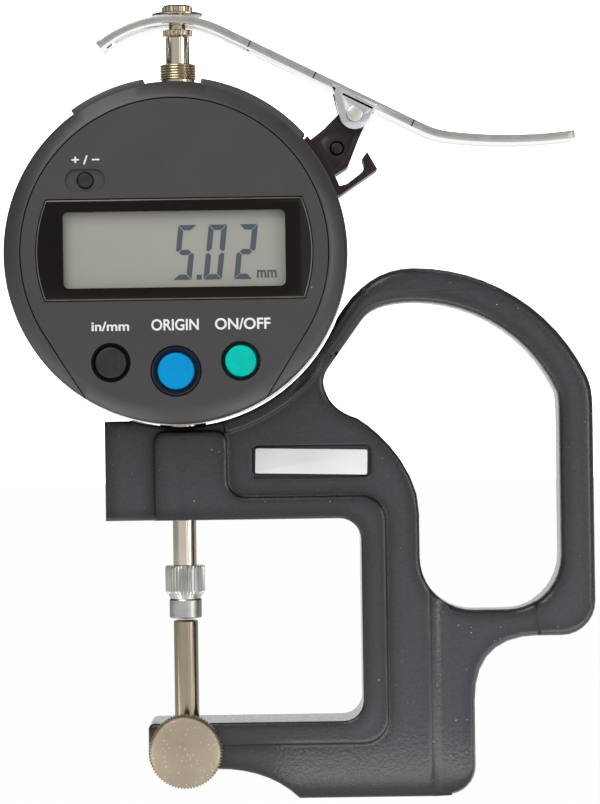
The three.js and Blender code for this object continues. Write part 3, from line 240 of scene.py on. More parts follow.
def upright_drill(radius, low, high, x, sides=64):
    return place(cylinder("drill", radius, high - low, sides), x, 0, (low + high) / 2)


def round_long_edges(piece, radius, axis=1, segments=6):
    """Rounds the edges that run along one axis, as a corner cutter does."""

    def runs_along(edge):
        a, b = (piece.data.vertices[i].co for i in edge.vertices)
        step = b - a
        return abs(step[axis]) > 0.9 * step.length

    pick(piece, runs_along, "EDGE")
    bpy.ops.mesh.bevel(offset=radius * MM, segments=segments, affect="EDGES")
    bpy.ops.object.mode_set(mode="OBJECT")
    return piece


def carve(piece, tool, operation="DIFFERENCE"):
    apply_modifier(piece, "BOOLEAN", operation=operation, solver="EXACT", object=tool)
    bpy.data.objects.remove(tool)
    return piece


def eased(piece, width, segments=2, angle=40):
    """Breaks the sharp edges of a finished body."""
    return apply_modifier(
        piece, "BEVEL", width=width * MM, segments=segments, limit_method="ANGLE",
        angle_limit=math.radians(angle),
    )


# %% [markdown]
# Where the solid already has the right form, its own mesh is copied and merged, so that it can be
# smoothed. The solid itself is hidden, and the piece stands for it.

# %% Copies of solids, and handing a piece over
def copy_of(node, name):
    only(NODES[node])
    bpy.ops.object.duplicate()
    piece = bpy.context.object
    piece.name = name
    bpy.ops.object.parent_clear(type="CLEAR_KEEP_TRANSFORM")
    for key in list(piece.keys()):
        del piece[key]
    edit_all()
    bpy.ops.mesh.remove_doubles(threshold=WELD)
    bpy.ops.mesh.dissolve_limited(angle_limit=math.radians(0.5))
    bpy.ops.object.mode_set(mode="OBJECT")
    return piece


def hand_over(piece, finish, body, slot, *nodes, smooth=30):
    """Gives the piece its finish and its body, and hides the solids that it stands for."""
    only(piece)
    bpy.ops.object.shade_smooth_by_angle(angle=math.radians(smooth))
    piece.data.materials.clear()
    piece.data.materials.append(finish)
    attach(piece, body)
    if nodes:
        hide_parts(*nodes)
    print(piece.name, "triangles:", sum(len(face.vertices) - 2 for face in piece.data.polygons))
    return piece


def paint_faces(piece, test, finish_used):
    """Gives the faces that pass the test a finish of their own."""
    piece.data.materials.append(finish_used)
    pick(piece, test, "FACE")
    piece.active_material_index = len(piece.data.materials) - 1
    bpy.ops.object.material_slot_assign()
    bpy.ops.object.mode_set(mode="OBJECT")


# %% [markdown]
# Finishes. Colours are written as they are seen on a screen, 0 to 255, and turned into the linear
# values that a shader works with. Four effects are shared by many finishes and are built once as
# node groups: a fine grain, a slow unevenness of colour, scattered dust, and turning marks.

# %% Colour values
def seen(red, green, blue):
    def linear(value):
        value = value / 255
        return value / 12.92 if value <= 0.04045 else ((value + 0.055) / 1.055) ** 2.4

    return (linear(red), linear(green), linear(blue), 1.0)


# %% Shader nodes
def fill(tree, node, values):
    """Sets a node's inputs by name or number. A socket is linked, anything else is a value."""
    for name, value in values.items():
        if isinstance(value, bpy.types.NodeSocket):
            tree.links.new(value, node.inputs[name])
        else:
            node.inputs[name].default_value = value
    return node


def add_node(tree, kind, values=None, **settings):
    node = tree.nodes.new("ShaderNode" + kind)
    for name, value in settings.items():
        setattr(node, name, value)
    return fill(tree, node, values or {})


def calculate(tree, operation, first, second):
    return add_node(tree, "Math", {0: first, 1: second}, operation=operation).outputs[0]


def scaled(tree, vector, factor):
    return add_node(tree, "VectorMath", {0: vector, "Scale": factor}, operation="SCALE").outputs[0]


# %% Shared effects
def effect(name, inputs, outputs, build):
    """A node group. build gets its tree and what comes in, and returns what goes out."""
    group = bpy.data.node_groups.new(name, "ShaderNodeTree")
    for in_out, sockets in (("INPUT", inputs), ("OUTPUT", outputs)):
        for label, kind in sockets.items():
            group.interface.new_socket(name=label, in_out=in_out, socket_type="NodeSocket" + kind)
    given = group.nodes.new("NodeGroupInput").outputs
    fill(group, group.nodes.new("NodeGroupOutput"), build(group, given))
    return group


def grain_noise(tree, given):
    values = {"Vector": given["Vector"], "Scale": given["Scale"], "Detail": 3.0, "Roughness": 0.6}
    return {"Height": add_node(tree, "TexNoise", values).outputs["Fac"]}


def uneven_tone(tree, given):
    noise = add_node(tree, "TexNoise", {"Vector": given["Vector"], "Scale": given["Scale"], "Detail": 5.0})
    swing = calculate(tree, "SUBTRACT", noise.outputs["Fac"], 0.5)
    gain = calculate(tree, "MULTIPLY", swing, given["Amount"])
    bright = calculate(tree, "ADD", calculate(tree, "MULTIPLY", gain, 4.0), 1.0)
    return {"Color": scaled(tree, given["Color"], bright), "Value": noise.outputs["Fac"]}


def dust_specks(tree, given):
    cells = add_node(tree, "TexVoronoi", {"Vector": given["Vector"], "Scale": given["Scale"]})
    near = calculate(tree, "LESS_THAN", cells.outputs["Distance"], given["Size"])
    split = add_node(tree, "SeparateColor", {0: cells.outputs["Color"]})
    chosen = calculate(tree, "LESS_THAN", split.outputs[0], given["Share"])
    both = calculate(tree, "MULTIPLY", near, chosen)
    return {"Mask": calculate(tree, "MULTIPLY", both, split.outputs[1])}


def turning_marks(tree, given):
    stretch = add_node(tree, "VectorMath", {0: given["Vector"], 1: given["Stretch"]}, operation="MULTIPLY")
    noise = add_node(tree, "TexNoise", {"Vector": stretch.outputs[0], "Scale": 300.0, "Detail": 2.0})
    return {"Height": noise.outputs["Fac"]}


GRAIN = effect("fine grain", {"Vector": "Vector", "Scale": "Float"}, {"Height": "Float"}, grain_noise)
UNEVEN = effect(
    "uneven tone", {"Vector": "Vector", "Color": "Color", "Scale": "Float", "Amount": "Float"},
    {"Color": "Color", "Value": "Float"}, uneven_tone,
)
DUST = effect(
    "dust specks", {"Vector": "Vector", "Scale": "Float", "Size": "Float", "Share": "Float"},
    {"Mask": "Float"}, dust_specks,
)
TURNING = effect(
    "turning marks", {"Vector": "Vector", "Stretch": "Vector"}, {"Height": "Float"}, turning_marks
)
print("shared effects:", [group.name for group in (GRAIN, UNEVEN, DUST, TURNING)])

# %% [markdown]
# Every finish feeds a Principled shader. Its colour wavers a little, its roughness follows the same
# slow noise, its normal carries the fine grain, and dust can lie on it in paler specks. Paint rounds
# every edge, which the Bevel node does to the shading. Shade is also painted into the colour: it is
# darker in inner corners and round the outer edges, which Ambient Occlusion finds, the second from
# inside.

# %% A finish with those effects
CORNER_SHADE_POWER = 3.0
RIM_SHADE_POWER = 1.9
RAY_SAMPLES = 8


def finish(
    name, color, roughness, metallic=0.0, uneven=0.05, tone_scale=120.0, gloss_swing=0.2, grain=2400.0,
    relief=0.004, marks=None, dust=0.0, dust_scale=700.0, dust_size=0.1, dust_color=seen(205, 200, 190),
    coat=0.0, coat_roughness=0.05, specular=0.5, corner_shade_reach=0.0, own_corners=True, rim_shade_reach=0.0,
    edge_radius=0.0,
):
    """relief, the two shade reaches and edge_radius are in millimetres."""
    material = bpy.data.materials.new(name)
    material.use_nodes = True
    tree = material.node_tree
    where = add_node(tree, "TexCoord").outputs["Object"]

    def place_effect(group, **values):
        return add_node(tree, "Group", {"Vector": where, **values}, node_tree=group).outputs

    tone = place_effect(UNEVEN, Color=color, Scale=tone_scale, Amount=uneven)
    surface_color = tone["Color"]
    if dust:
        specks = place_effect(DUST, Scale=dust_scale, Size=dust_size, Share=dust)
        blend = {"Factor": specks["Mask"], "A": surface_color, "B": dust_color}
        surface_color = add_node(tree, "Mix", blend, data_type="RGBA").outputs["Result"]
    # Painted shade: the colour is darkened in inner corners and round outer edges, where Ambient Occlusion
    # finds them.
    for reach, inside, power in ((corner_shade_reach, False, CORNER_SHADE_POWER), (rim_shade_reach, True, RIM_SHADE_POWER)):
        if reach:
            openness = add_node(
                tree, "AmbientOcclusion", {"Distance": reach * MM}, samples=RAY_SAMPLES, inside=inside,
                only_local=own_corners,
            )
            light = calculate(tree, "POWER", openness.outputs["AO"], power)
            surface_color = scaled(tree, surface_color, light)
    swing = calculate(tree, "SUBTRACT", tone["Value"], 0.5)
    change = calculate(tree, "MULTIPLY", swing, gloss_swing)
    pattern = place_effect(TURNING, Stretch=marks) if marks else place_effect(GRAIN, Scale=grain)
    bump = add_node(tree, "Bump", {"Strength": 1.0, "Distance": relief * MM, "Height": pattern["Height"]})
    if edge_radius:
        rounding = add_node(tree, "Bevel", {"Radius": edge_radius * MM}, samples=RAY_SAMPLES)
        fill(tree, bump, {"Normal": rounding.outputs["Normal"]})
    shader_values = {
        "Base Color": surface_color,
        "Metallic": metallic,
        "Roughness": calculate(tree, "ADD", change, roughness),
        "Specular IOR Level": specular,
        "Coat Weight": coat,
        "Coat Roughness": coat_roughness,
        "Normal": bump.outputs["Normal"],
    }
    fill(tree, tree.nodes["Principled BSDF"], shader_values)
    return material


# %% Paint and plastics
# Painted shade: the paint's colour is darkened in its inner corners and round its outer edges.
CAST_PAINT = finish(
    "charcoal cast paint", seen(53, 53, 58), 0.17, uneven=0.11, grain=2000, relief=0.05, tone_scale=1700,
    gloss_swing=0.25, dust=0.4, dust_scale=1000, dust_size=0.075, corner_shade_reach=2.6, rim_shade_reach=2.8,
    edge_radius=1.0,
)
SHELL_PLASTIC = finish(
    "charcoal shell plastic", seen(57, 53, 55), 0.4, uneven=0.06, grain=3000, relief=0.01, dust=0.12,
    dust_scale=520, dust_size=0.06,
)
BLACK_PLASTIC = finish(
    "black moulded plastic", seen(33, 24, 22), 0.34, uneven=0.12, grain=1800, relief=0.008, specular=0.3
)
WINDOW_PLASTIC = finish(
    "glossy window frame", seen(17, 12, 9), 0.12, uneven=0.15, grain=1200, relief=0.0006, gloss_swing=0.08,
    dust=0.02, dust_scale=420, dust_size=0.06, specular=0.16,
)
KEY_BLACK = finish(
    "black key", seen(36, 33, 33), 0.45, uneven=0.25, tone_scale=900, grain=2600, relief=0.012, specular=0.34
)
KEY_BLUE, KEY_TEAL = (
    finish(name, color, 0.4, uneven=0.08, tone_scale=500, grain=2600, relief=0.006, specular=0.1)
    for name, color in (("blue key", seen(0, 132, 190)), ("teal key", seen(0, 176, 163)))
)
SKIRT_BLACK = finish("black key skirt", seen(20, 18, 18), 0.5, uneven=0.1, relief=0.006)
SKIRT_NAVY = finish("navy key skirt", seen(18, 21, 34), 0.45, uneven=0.1, relief=0.006)
SKIRT_GREEN = finish("dark green key skirt", seen(12, 40, 33), 0.5, uneven=0.1, relief=0.006)
RUBBER = finish("grey contact rubber", seen(80, 80, 78), 0.8, uneven=0.1, relief=0.02)
BOARD = finish("green circuit board", seen(28, 92, 60), 0.4, uneven=0.3, tone_scale=700, relief=0.02)
# Painted highlight: the paler colour of the window frame's front-facing chamfers.
WINDOW_EDGE_HIGHLIGHT = finish(
    "painted highlight on the window edge", seen(92, 84, 78), 0.3, uneven=0.2, tone_scale=300, relief=0.002
)
INK = finish("pale printing ink", seen(214, 215, 218), 0.6, uneven=0.04, relief=0.002)

# %% Metals
STEEL = finish(
    "ground steel", seen(226, 216, 198), 0.14, 1.0, relief=0.0012, marks=(1, 1, 24), gloss_swing=0.1
)
CONTACT_STEEL = finish(
    "knurled steel", seen(188, 186, 183), 0.34, 1.0, uneven=0.12, tone_scale=500, dust=0.05, dust_scale=900,
    dust_color=seen(90, 86, 80),
)
CHROME = finish("chrome plate", seen(249, 248, 247), 0.09, 1.0, uneven=0.02, relief=0.0012, gloss_swing=0.08)
EDGE_CHROME = finish(
    "sheared edge", seen(200, 197, 194), 0.24, 1.0, uneven=0.07, tone_scale=400, relief=0.002
)
EAR_CHROME = finish("satin chrome", seen(222, 223, 226), 0.26, 1.0, tone_scale=300, relief=0.0015)
# Painted shade: a near-black colour for the inner faces of the slit, the notch and the score marks.
SLIT_SHADE = finish("painted shade in a slit", seen(26, 19, 16), 0.7, uneven=0.2, specular=0.2)
ANVIL_STEEL = finish(
    "dull ground steel", seen(164, 151, 131), 0.17, 1.0, relief=0.0014, marks=(1, 1, 24), gloss_swing=0.1
)
PIN_STEEL = finish("satin pin head", seen(214, 210, 202), 0.38, 1.0, tone_scale=300, relief=0.0015)
NICKEL = finish(
    "dusty nickel plate", seen(202, 189, 164), 0.26, 1.0, uneven=0.12, tone_scale=400, dust=0.06,
    dust_scale=800, dust_color=seen(80, 72, 60),
)
KNOB_NICKEL = finish(
    "worn nickel of the knob", seen(176, 163, 142), 0.48, 1.0, uneven=0.08, tone_scale=260, relief=0.012,
    dust=1.0, dust_scale=1500, dust_size=0.13, dust_color=seen(255, 255, 252),
)
# Painted shade: the colour is darkened wherever this or another piece comes within 4 mm, as under the case
# ring.
ALUMINIUM = finish(
    "turned aluminium", seen(222, 220, 218), 0.24, 1.0, uneven=0.03, relief=0.002, marks=(1, 24, 1),
    corner_shade_reach=4.0, own_corners=False,
)
PLATE_METAL = finish("satin plate", seen(236, 236, 236), 0.42, 0.85, relief=0.002, marks=(1, 1, 20))
DARK_METAL = finish("blackened metal", seen(44, 44, 46), 0.4, 0.6, uneven=0.1, relief=0.01)
BRASS = finish("plated brass", seen(212, 180, 110), 0.3, 1.0, uneven=0.06, relief=0.002)

# %% [markdown]
# The liquid crystal is a pale grey sheet under clear plastic. It is a little darker at its edges,
# where the frame shades it, and its reflector is very finely grained.

# %% Display finishes
CRYSTAL = finish(
    "liquid crystal", seen(145, 145, 137), 0.35, uneven=0.03, tone_scale=60, grain=5000, relief=0.001,
    coat=0.4, coat_roughness=0.08, specular=0.3,
)
CRYSTAL_DARK = finish("crystal segment", seen(66, 74, 84), 0.4, uneven=0.06, tone_scale=300, relief=0.0005)
print("finishes:", len(bpy.data.materials))

# %% [markdown]
# The casting is one painted piece. Its solid has crisp steps where the real one has soft, painted
# edges, so a Bevel modifier breaks them. The broken edges are smooth shaded, and Weighted Normal
# keeps the large faces flat, so that light gathers only along the edges.

# %% The casting
casting = copy_of("frame", "casting")
eased(casting, 0.25, segments=2, angle=28)
hand_over(casting, CAST_PAINT, "frame", "cast_paint", "frame", smooth=60)
apply_modifier(casting, "WEIGHTED_NORMAL", mode="FACE_AREA", weight=50)

# %% [markdown]
# The label plate lies in a pocket of the upper arm, very slightly askew. It is a small satin plate,
# and it is bare.

# %% The label plate
LABEL_PLACE = (SPINDLE_X + 22.1, 57.8)
label = block("plate_on_arm", (19.2, 0.6, 4.3), (0, 0, 0))
round_long_edges(label, 0.3, segments=4)
eased(label, 0.08, segments=3)
place(label, LABEL_PLACE[0], LABEL_Y, LABEL_PLACE[1], turn=(0, 1.4, 0))
hand_over(label, PLATE_METAL, "frame", "plate", "label_plate")

# %% [markdown]
# The front shell is one turned form, split by a fine seam into the bezel and the panel. The seam
# follows a circle inside the rim, then runs straight out to the rim at the bottom. Both pieces are
# turned from the same profile, and each keeps its own side of the seam.

# %% Front shell and seam
SHELL_FRONT = -16.5
SHELL_BACK = -10.2
SHELL_RADIUS = 28.9
SHELL_PROFILE = [
    (0, SHELL_FRONT), (26.2, SHELL_FRONT), (28.5, -15.1), (SHELL_RADIUS, -14.6), (SHELL_RADIUS, SHELL_BACK),
    (26.6, SHELL_BACK), (26.6, -14.2), (25.4, -15.0), (0, -15.0),
]
SEAM_RADIUS = 25.8
SEAM_ANGLE = 31.7
SEAM_END_X = 11.1
SEAM_END_Z = -31.0


def head_turned(name, profile):
    return turned_front(name, profile, HEAD_X, HEAD_Z, steps=192)


def front_shell(name):
    return eased(head_turned(name, SHELL_PROFILE), 0.35, segments=3, angle=22)


def seam_tool(margin):
    """A prism on the panel's side of the seam."""
    corners = arc(HEAD_X, HEAD_Z, SEAM_RADIUS + margin, -SEAM_ANGLE, 180 + SEAM_ANGLE, 140)
    corners.append((HEAD_X - SEAM_END_X - margin, HEAD_Z + SEAM_END_Z))
    corners.append((HEAD_X + SEAM_END_X + margin, HEAD_Z + SEAM_END_Z))
    return plate("seam", corners, SHELL_FRONT - 2, SHELL_BACK + 2)


# %% [markdown]
# Two raised grips stand on the bezel's rim, so that fingers can turn the display. Each is a
# stretch of a ring with square ends.

# %% The bezel
GRIPS = [(99.5, 125.4), (41.4, 80.5)]
GRIP_HEIGHT = 0.7
GRIP_ROOT = 0.6


def grip(start, end):
    count = round(end - start)
    outer = arc(HEAD_X, HEAD_Z, SHELL_RADIUS + GRIP_HEIGHT, start, end, count)
    inner = arc(HEAD_X, HEAD_Z, SHELL_RADIUS - GRIP_ROOT, start, end, count)
    return eased(plate("grip", outer + inner[::-1], -15.1, SHELL_BACK), 0.18)


bezel = front_shell("bezel")
for first, last in GRIPS:
    carve(bezel, grip(first, last), "UNION")
carve(bezel, seam_tool(0.2))
hand_over(bezel, SHELL_PLASTIC, "display_unit", "charcoal_plastic", "front_bezel")

# %% [markdown]
# The panel keeps the inside of the seam. Holes are drilled in it for the display window, the
# three keys and the small sign key, which sits at one end of a shallow oblong dish.

# %% Places on the panel
WINDOW_RADIUS = 23.2
WINDOW_TOP = 8.9
WINDOW_BOTTOM = -8.0
KEYS = {
    "unit": {"x": -10.9, "z": -18.45, "cap": 2.62, "skirt": 3.2},
    "origin": {"x": 0.0, "z": -20.0, "cap": 3.07, "skirt": 4.2},
    "power": {"x": 10.9, "z": -18.45, "cap": 2.62, "skirt": 3.2},
}
SIGN_X = -14.8
SIGN_Z = 12.2
SIGN_CAP = 1.33
HOLE_GAP = 0.12


def window_body(name, margin, front, back):
    """A disc with its top and bottom cut off straight."""
    body = drum(name, WINDOW_RADIUS + margin, front, back, HEAD_X, HEAD_Z, sides=220)
    only(body)
    bpy.ops.object.mode_set(mode="EDIT")
    for height, up in ((WINDOW_TOP + margin, 1), (WINDOW_BOTTOM - margin, -1)):
        bpy.ops.mesh.select_all(action="SELECT")
        bpy.ops.mesh.bisect(
            plane_co=metres(HEAD_X, 0, HEAD_Z + height), plane_no=(0, 0, up), use_fill=True, clear_outer=True
        )
    bpy.ops.object.mode_set(mode="OBJECT")
    return body


# %% The panel
DRILL_FRONT = SHELL_FRONT - 2
DRILL_BACK = -14.0
panel = front_shell("panel")
carve(panel, seam_tool(0.0), "INTERSECT")
carve(panel, window_body("window opening", 0.15, DRILL_FRONT, DRILL_BACK))
for key in KEYS.values():
    radius = key["skirt"] + HOLE_GAP
    carve(panel, drum("key hole", radius, DRILL_FRONT, DRILL_BACK, HEAD_X + key["x"], HEAD_Z + key["z"], 96))
sign_place = (HEAD_X + SIGN_X, HEAD_Z + SIGN_Z)
dish = block("dish", (6.8, 2.0, 3.8), (sign_place[0], SHELL_FRONT - 0.5, sign_place[1]))
round_long_edges(dish, 1.85, segments=12)
carve(panel, dish)
carve(panel, drum("sign hole", SIGN_CAP + HOLE_GAP, DRILL_FRONT, DRILL_BACK, *sign_place, 64))
hand_over(panel, SHELL_PLASTIC, "display_unit", "charcoal_plastic", "front_panel")

# %% [markdown]
# The window frame is a glossy, nearly black piece that stands a little proud of the panel. Its
# edges are chamfered, light runs along them, and a paler colour on the chamfers that face the front
# adds a painted highlight. The opening shows the liquid crystal behind it.

# %% The window frame
WINDOW_FRONT = -16.8
WINDOW_BACK = -15.6
OPENING = (37.3, 12.8)
OPENING_MIDDLE = HEAD_Z + 0.45
window = window_body("window_frame", 0.0, WINDOW_FRONT, WINDOW_BACK)
eased(window, 0.28, segments=2, angle=50)
opening = block("opening", (OPENING[0], 6, OPENING[1]), (HEAD_X, WINDOW_FRONT, OPENING_MIDDLE))
round_long_edges(opening, 0.9)
carve(window, opening)
hand_over(window, WINDOW_PLASTIC, "display_unit", "window_black", "display_window")
# Painted highlight: the chamfers that face the front get a paler colour.
paint_faces(window, lambda face: -0.97 < face.normal.y < -0.2, WINDOW_EDGE_HIGHLIGHT)

# %% [markdown]
# Digits on a liquid crystal are built from seven segments. Each segment is a thin dark plate with
# mitred ends, and the whole figure leans to the right. The figure's corner points are worked out
# once for an upright digit, and the lean is added to them.

# %% Seven segments
DIGIT_HEIGHT = 9.2
DIGIT_WIDTH = 3.1
STROKE = 0.9
MITRE_GAP = 0.09
LEAN = math.tan(math.radians(6.5))
CRYSTAL_FRONT = -15.3
SEGMENTS_LIT = {"5": "afgcd", "0": "abcdef", "2": "abged"}


def segment_corners(segment):
    w, h, t, g = DIGIT_WIDTH, DIGIT_HEIGHT, STROKE, MITRE_GAP
    half = h / 2
    low, high = half - t / 2, half + t / 2

    def flipped(corners):
        return [(x, h - z) for x, z in reversed(corners)]

    top = [(t + g, h - t), (w - t - g, h - t), (w - g, h), (g, h)]
    right = [(w, high - g), (w, h - g), (w - t, h - t - g), (w - t, high + g), (w - t / 2 + g, half + g)]
    left = [(w - x, z) for x, z in reversed(right)]
    bar = [
        (t / 2 + g, half), (t + g, low), (w - t - g, low), (w - t / 2 - g, half), (w - t - g, high),
        (t + g, high),
    ]
    shapes = {
        "a": top, "b": right, "c": flipped(right), "d": flipped(top), "e": flipped(left), "f": left,
        "g": bar,
    }
    return shapes[segment]


def join(pieces, name):
    deselect_all()
    for piece in pieces:
        piece.select_set(True)
    bpy.context.view_layer.objects.active = pieces[0]
    bpy.ops.object.join()
    pieces[0].name = name
    return pieces[0]


def lit_bar(name, corners):
    return plate(name, corners, CRYSTAL_FRONT - 0.06, CRYSTAL_FRONT - 0.02)


# %% The reading
READING_Z = HEAD_Z - 4.68
POINT_X = HEAD_X + 4.05
POINT = [(-0.45, 0), (0.4, 0), (0.48, 0.85), (-0.37, 0.85)]
bars = []
for figure, figure_x in (("5", 1.75), ("0", 6.85), ("2", 12.0)):
    left = HEAD_X + figure_x - DIGIT_WIDTH / 2
    for segment in SEGMENTS_LIT[figure]:
        corners = [
            (left + x + (z - DIGIT_HEIGHT / 2) * LEAN, READING_Z + z) for x, z in segment_corners(segment)
        ]
        bars.append(lit_bar("segment", corners))
bars.append(lit_bar("point", [(POINT_X + x, READING_Z + z) for x, z in POINT]))
reading = join(bars, "lit_reading")
hand_over(reading, CRYSTAL_DARK, "display_unit", "window_black")

# %% [markdown]
# Printed words are text objects. Each is turned into a mesh, scaled to the width and height that
# the print has on the panel, and laid a few hundredths of a millimetre proud of the plastic.

# %% Printed words
def printed(name, words, x, z, width, height, surface, finish_used, slot):
    text = added("text", bpy.ops.object.text_add)
    text.data.body = words
    text.data.size = 1.0
    text.data.offset = 0.02
    text.data.extrude = 0.004
    bpy.ops.object.convert(target="MESH")
    text = bpy.context.object
    text.name = name
    low = [min(v.co[i] for v in text.data.vertices) for i in (0, 1)]
    high = [max(v.co[i] for v in text.data.vertices) for i in (0, 1)]
    for vertex in text.data.vertices:
        vertex.co.x -= (low[0] + high[0]) / 2
        vertex.co.y -= (low[1] + high[1]) / 2
    text.scale = metres(width / (high[0] - low[0]), height / (high[1] - low[1]), 4.0)
    place(text, x, surface - 0.02, z, turn=(90, 0, 0))
    return hand_over(text, finish_used, "display_unit", slot)


printed(
    "unit_mark", "mm", HEAD_X + 15.45, HEAD_Z - 3.85, 3.3, 1.35, CRYSTAL_FRONT - 0.02, CRYSTAL_DARK,
    "window_black",
)
for name, words, x, z, width, height in (
    ("unit_words", "in/mm", -10.9, -12.35, 6.3, 1.6),
    ("origin_words", "ORIGIN", -0.04, -12.23, 7.95, 1.93),
    ("power_words", "ON/OFF", 11.3, -12.2, 9.3, 1.93),
    ("sign_words", "+ / −", -14.67, 15.63, 4.65, 1.5),
):
    printed(name, words, HEAD_X + x, HEAD_Z + z, width, height, SHELL_FRONT, INK, "plate")

# %% [markdown]
# A key is a moulded cap with a soft edge and a very slightly hollow face. Round it stands a skirt,
# fixed in the panel, whose face slopes down towards the cap.

# %% Keys and skirts
KEY_FRONT = -17.0
KEY_BACK = -14.25
SKIRT_FRONT = -16.3


def key_cap(name, x, z, radius, front):
    ledge = KEY_BACK - 0.45
    profile = [
        (0, front + 0.1), (radius * 0.5, front + 0.06), (radius - 0.5, front), (radius - 0.2, front + 0.05),
        (radius - 0.05, front + 0.2), (radius, front + 0.45), (radius, ledge), (radius + 0.35, ledge),
        (radius + 0.35, KEY_BACK), (0, KEY_BACK),
    ]
    return turned_front(name, profile, HEAD_X + x, HEAD_Z + z, steps=72)


def key_skirt(name, x, z, inner, outer):
    slope_start = (inner, SKIRT_FRONT + 0.55)
    profile = [
        slope_start, (outer - 0.15, SKIRT_FRONT + 0.05), (outer, SKIRT_FRONT + 0.15), (outer, -15.0),
        (inner, -15.0), slope_start,
    ]
    return turned_front(name, profile, HEAD_X + x, HEAD_Z + z, steps=72)


for name, cap_finish, skirt_finish, cap_slot, skirt_slot in (
    ("unit", KEY_BLACK, SKIRT_BLACK, "black_plastic", "black_plastic"),
    ("origin", KEY_BLUE, SKIRT_NAVY, "blue_plastic", "navy_plastic"),
    ("power", KEY_TEAL, SKIRT_GREEN, "teal_plastic", "green_plastic"),
):
    key = KEYS[name]
    cap = key_cap(name + "_cap", key["x"], key["z"], key["cap"], KEY_FRONT)
    hand_over(cap, cap_finish, name + "_key", cap_slot, name + "_key", smooth=40)
    skirt = key_skirt(name + "_skirt", key["x"], key["z"], key["cap"] + 0.2, key["skirt"])
    hand_over(skirt, skirt_finish, "display_unit", skirt_slot, name + "_key_skirt", smooth=40)
sign_cap = key_cap("sign_cap", SIGN_X, SIGN_Z, SIGN_CAP, -16.6)
hand_over(sign_cap, KEY_BLACK, "sign_key", "black_plastic", "sign_key", smooth=40)

# %% [markdown]
# Behind the bezel is the turned aluminium case, with a flat cover on its back. The case has holes
# for the stem below, the bush above and the data plug on the left. Four screws hold the cover, and
# a round lid with a coin slot closes the battery's well.

# %% The case
CASE_RADIUS = 29.2
case_profile = [
    (27.9, -9.9), (29.0, -9.9), (CASE_RADIUS, -9.7), (CASE_RADIUS, 6.4), (28.6, 7.0), (24.5, 7.0),
    (24.5, 5.5), (27.9, 5.5), (27.9, -9.9),
]
case = head_turned("case_ring", case_profile)

carve(case, upright_drill(4.15, 62, 68, SPINDLE_X))
carve(case, upright_drill(3.3, 118, 124, SPINDLE_X))
port_hole = block("port hole", (4, 6.0, 11.6), (HEAD_X - 29, -1, HEAD_Z))
round_long_edges(port_hole, 0.8, axis=0)
carve(case, port_hole)
# Painted shade darkens the ring's colour where the casting comes close under it.
hand_over(case, ALUMINIUM, "frame", "case_aluminium", "rear_case")

# %% Back cover, its screws and the battery lid
COVER_FRONT = 7.3
COVER_BACK = 8.8
LID_X = SPINDLE_X - 11.7
LID_Z = 81.2
SCREW_CIRCLE = 26.2
SCREW_START = 38
screw_places = arc(HEAD_X, HEAD_Z, SCREW_CIRCLE, SCREW_START, SCREW_START + 270, 3)
cover = head_turned(
    "rear_cover", [(0, COVER_FRONT), (28.6, COVER_FRONT), (28.6, 8.3), (28.1, COVER_BACK), (0, COVER_BACK)]
)
carve(cover, drum("lid hole", 7.35, 6, 10, LID_X, LID_Z, 120))
for x, z in screw_places:
    carve(cover, drum("screw seat", 1.75, 7.8, 10, x, z, 48))
    carve(cover, drum("screw hole", 1.2, 6, 9, x, z, 48))
hand_over(cover, SHELL_PLASTIC, "frame", "dark_metal", "back_cover")

lid = turned_front(
    "battery_lid", [(0, COVER_FRONT), (7.2, COVER_FRONT), (7.2, 8.5), (6.9, COVER_BACK), (0, COVER_BACK)],
    LID_X, LID_Z, steps=96,
)
slot_cut = block("coin slot", (9, 1.6, 1.4), (LID_X, COVER_BACK, LID_Z))
round_long_edges(slot_cut, 0.6)
carve(lid, slot_cut)
hand_over(lid, BLACK_PLASTIC, "battery_cover", "black_plastic", "battery_cover")

screw_profile = [(0, 5.6), (1.0, 5.6), (1.0, 8.0), (1.6, 8.0), (1.6, 8.55), (1.45, 8.7), (0, 8.7)]
for number, (x, z) in enumerate(screw_places, start=1):
    head = turned_front(f"screw_{number}", screw_profile, x, z, steps=48)
    carve(head, block("cross slot", (1.9, 0.9, 0.4), (x, COVER_BACK, z)))
    carve(head, block("cross slot", (0.4, 0.9, 1.9), (x, COVER_BACK, z)))
    hand_over(head, DARK_METAL, "frame", "dark_metal", f"cover_screw_{number}")

# %% [markdown]
# The plug's cover is a small black cap that pushes into the side of the case. Its solid is right
# and only needs soft corners.

# %% Plug cover
plug_cover = copy_of("port_cover", "plug_cover")
eased(plug_cover, 0.4, segments=3)
hand_over(plug_cover, BLACK_PLASTIC, "port_cover", "black_plastic", "port_cover")

# %% [markdown]
# The spindle is a ground rod in a steel stem. At its lower end sits the contact point: a plain
# collar and a knurled nut in one piece. On top, two small knurled rings hold a washer, and the
# lever lifts the spindle by that washer. Knurls are pressed into turned bands.

# %% Spindle and stem
SPINDLE_TOP = 131.5


def spindle_piece(name, profile, steps, finish_used, body, slot, node, knurl=None):
    """A turned piece on the spindle's axis. knurl: least radius, low, high and depth of its teeth."""
    piece = turned(name, profile, steps)
    if knurl:
        knurled(piece, steps, *knurl)
    place(piece, SPINDLE_X)
    hand_over(piece, finish_used, body, slot, node, smooth=25 if knurl else 30)


spindle_piece(
    "spindle_rod", [(0, 40.1), (2.05, 40.1), (2.05, 131.3), (1.85, SPINDLE_TOP), (0, SPINDLE_TOP)], 64,
    STEEL, "spindle", "steel", "spindle",
)
spindle_piece(
    "stem_sleeve",
    [
        (2.2, 48.6), (2.35, 48.3), (3.8, 48.3), (4.0, 48.5), (4.0, 66.5), (5.0, 66.5), (5.0, 68.0),
        (2.2, 68.0), (2.2, 48.6),
    ],
    72, STEEL, "frame", "steel", "stem",
)

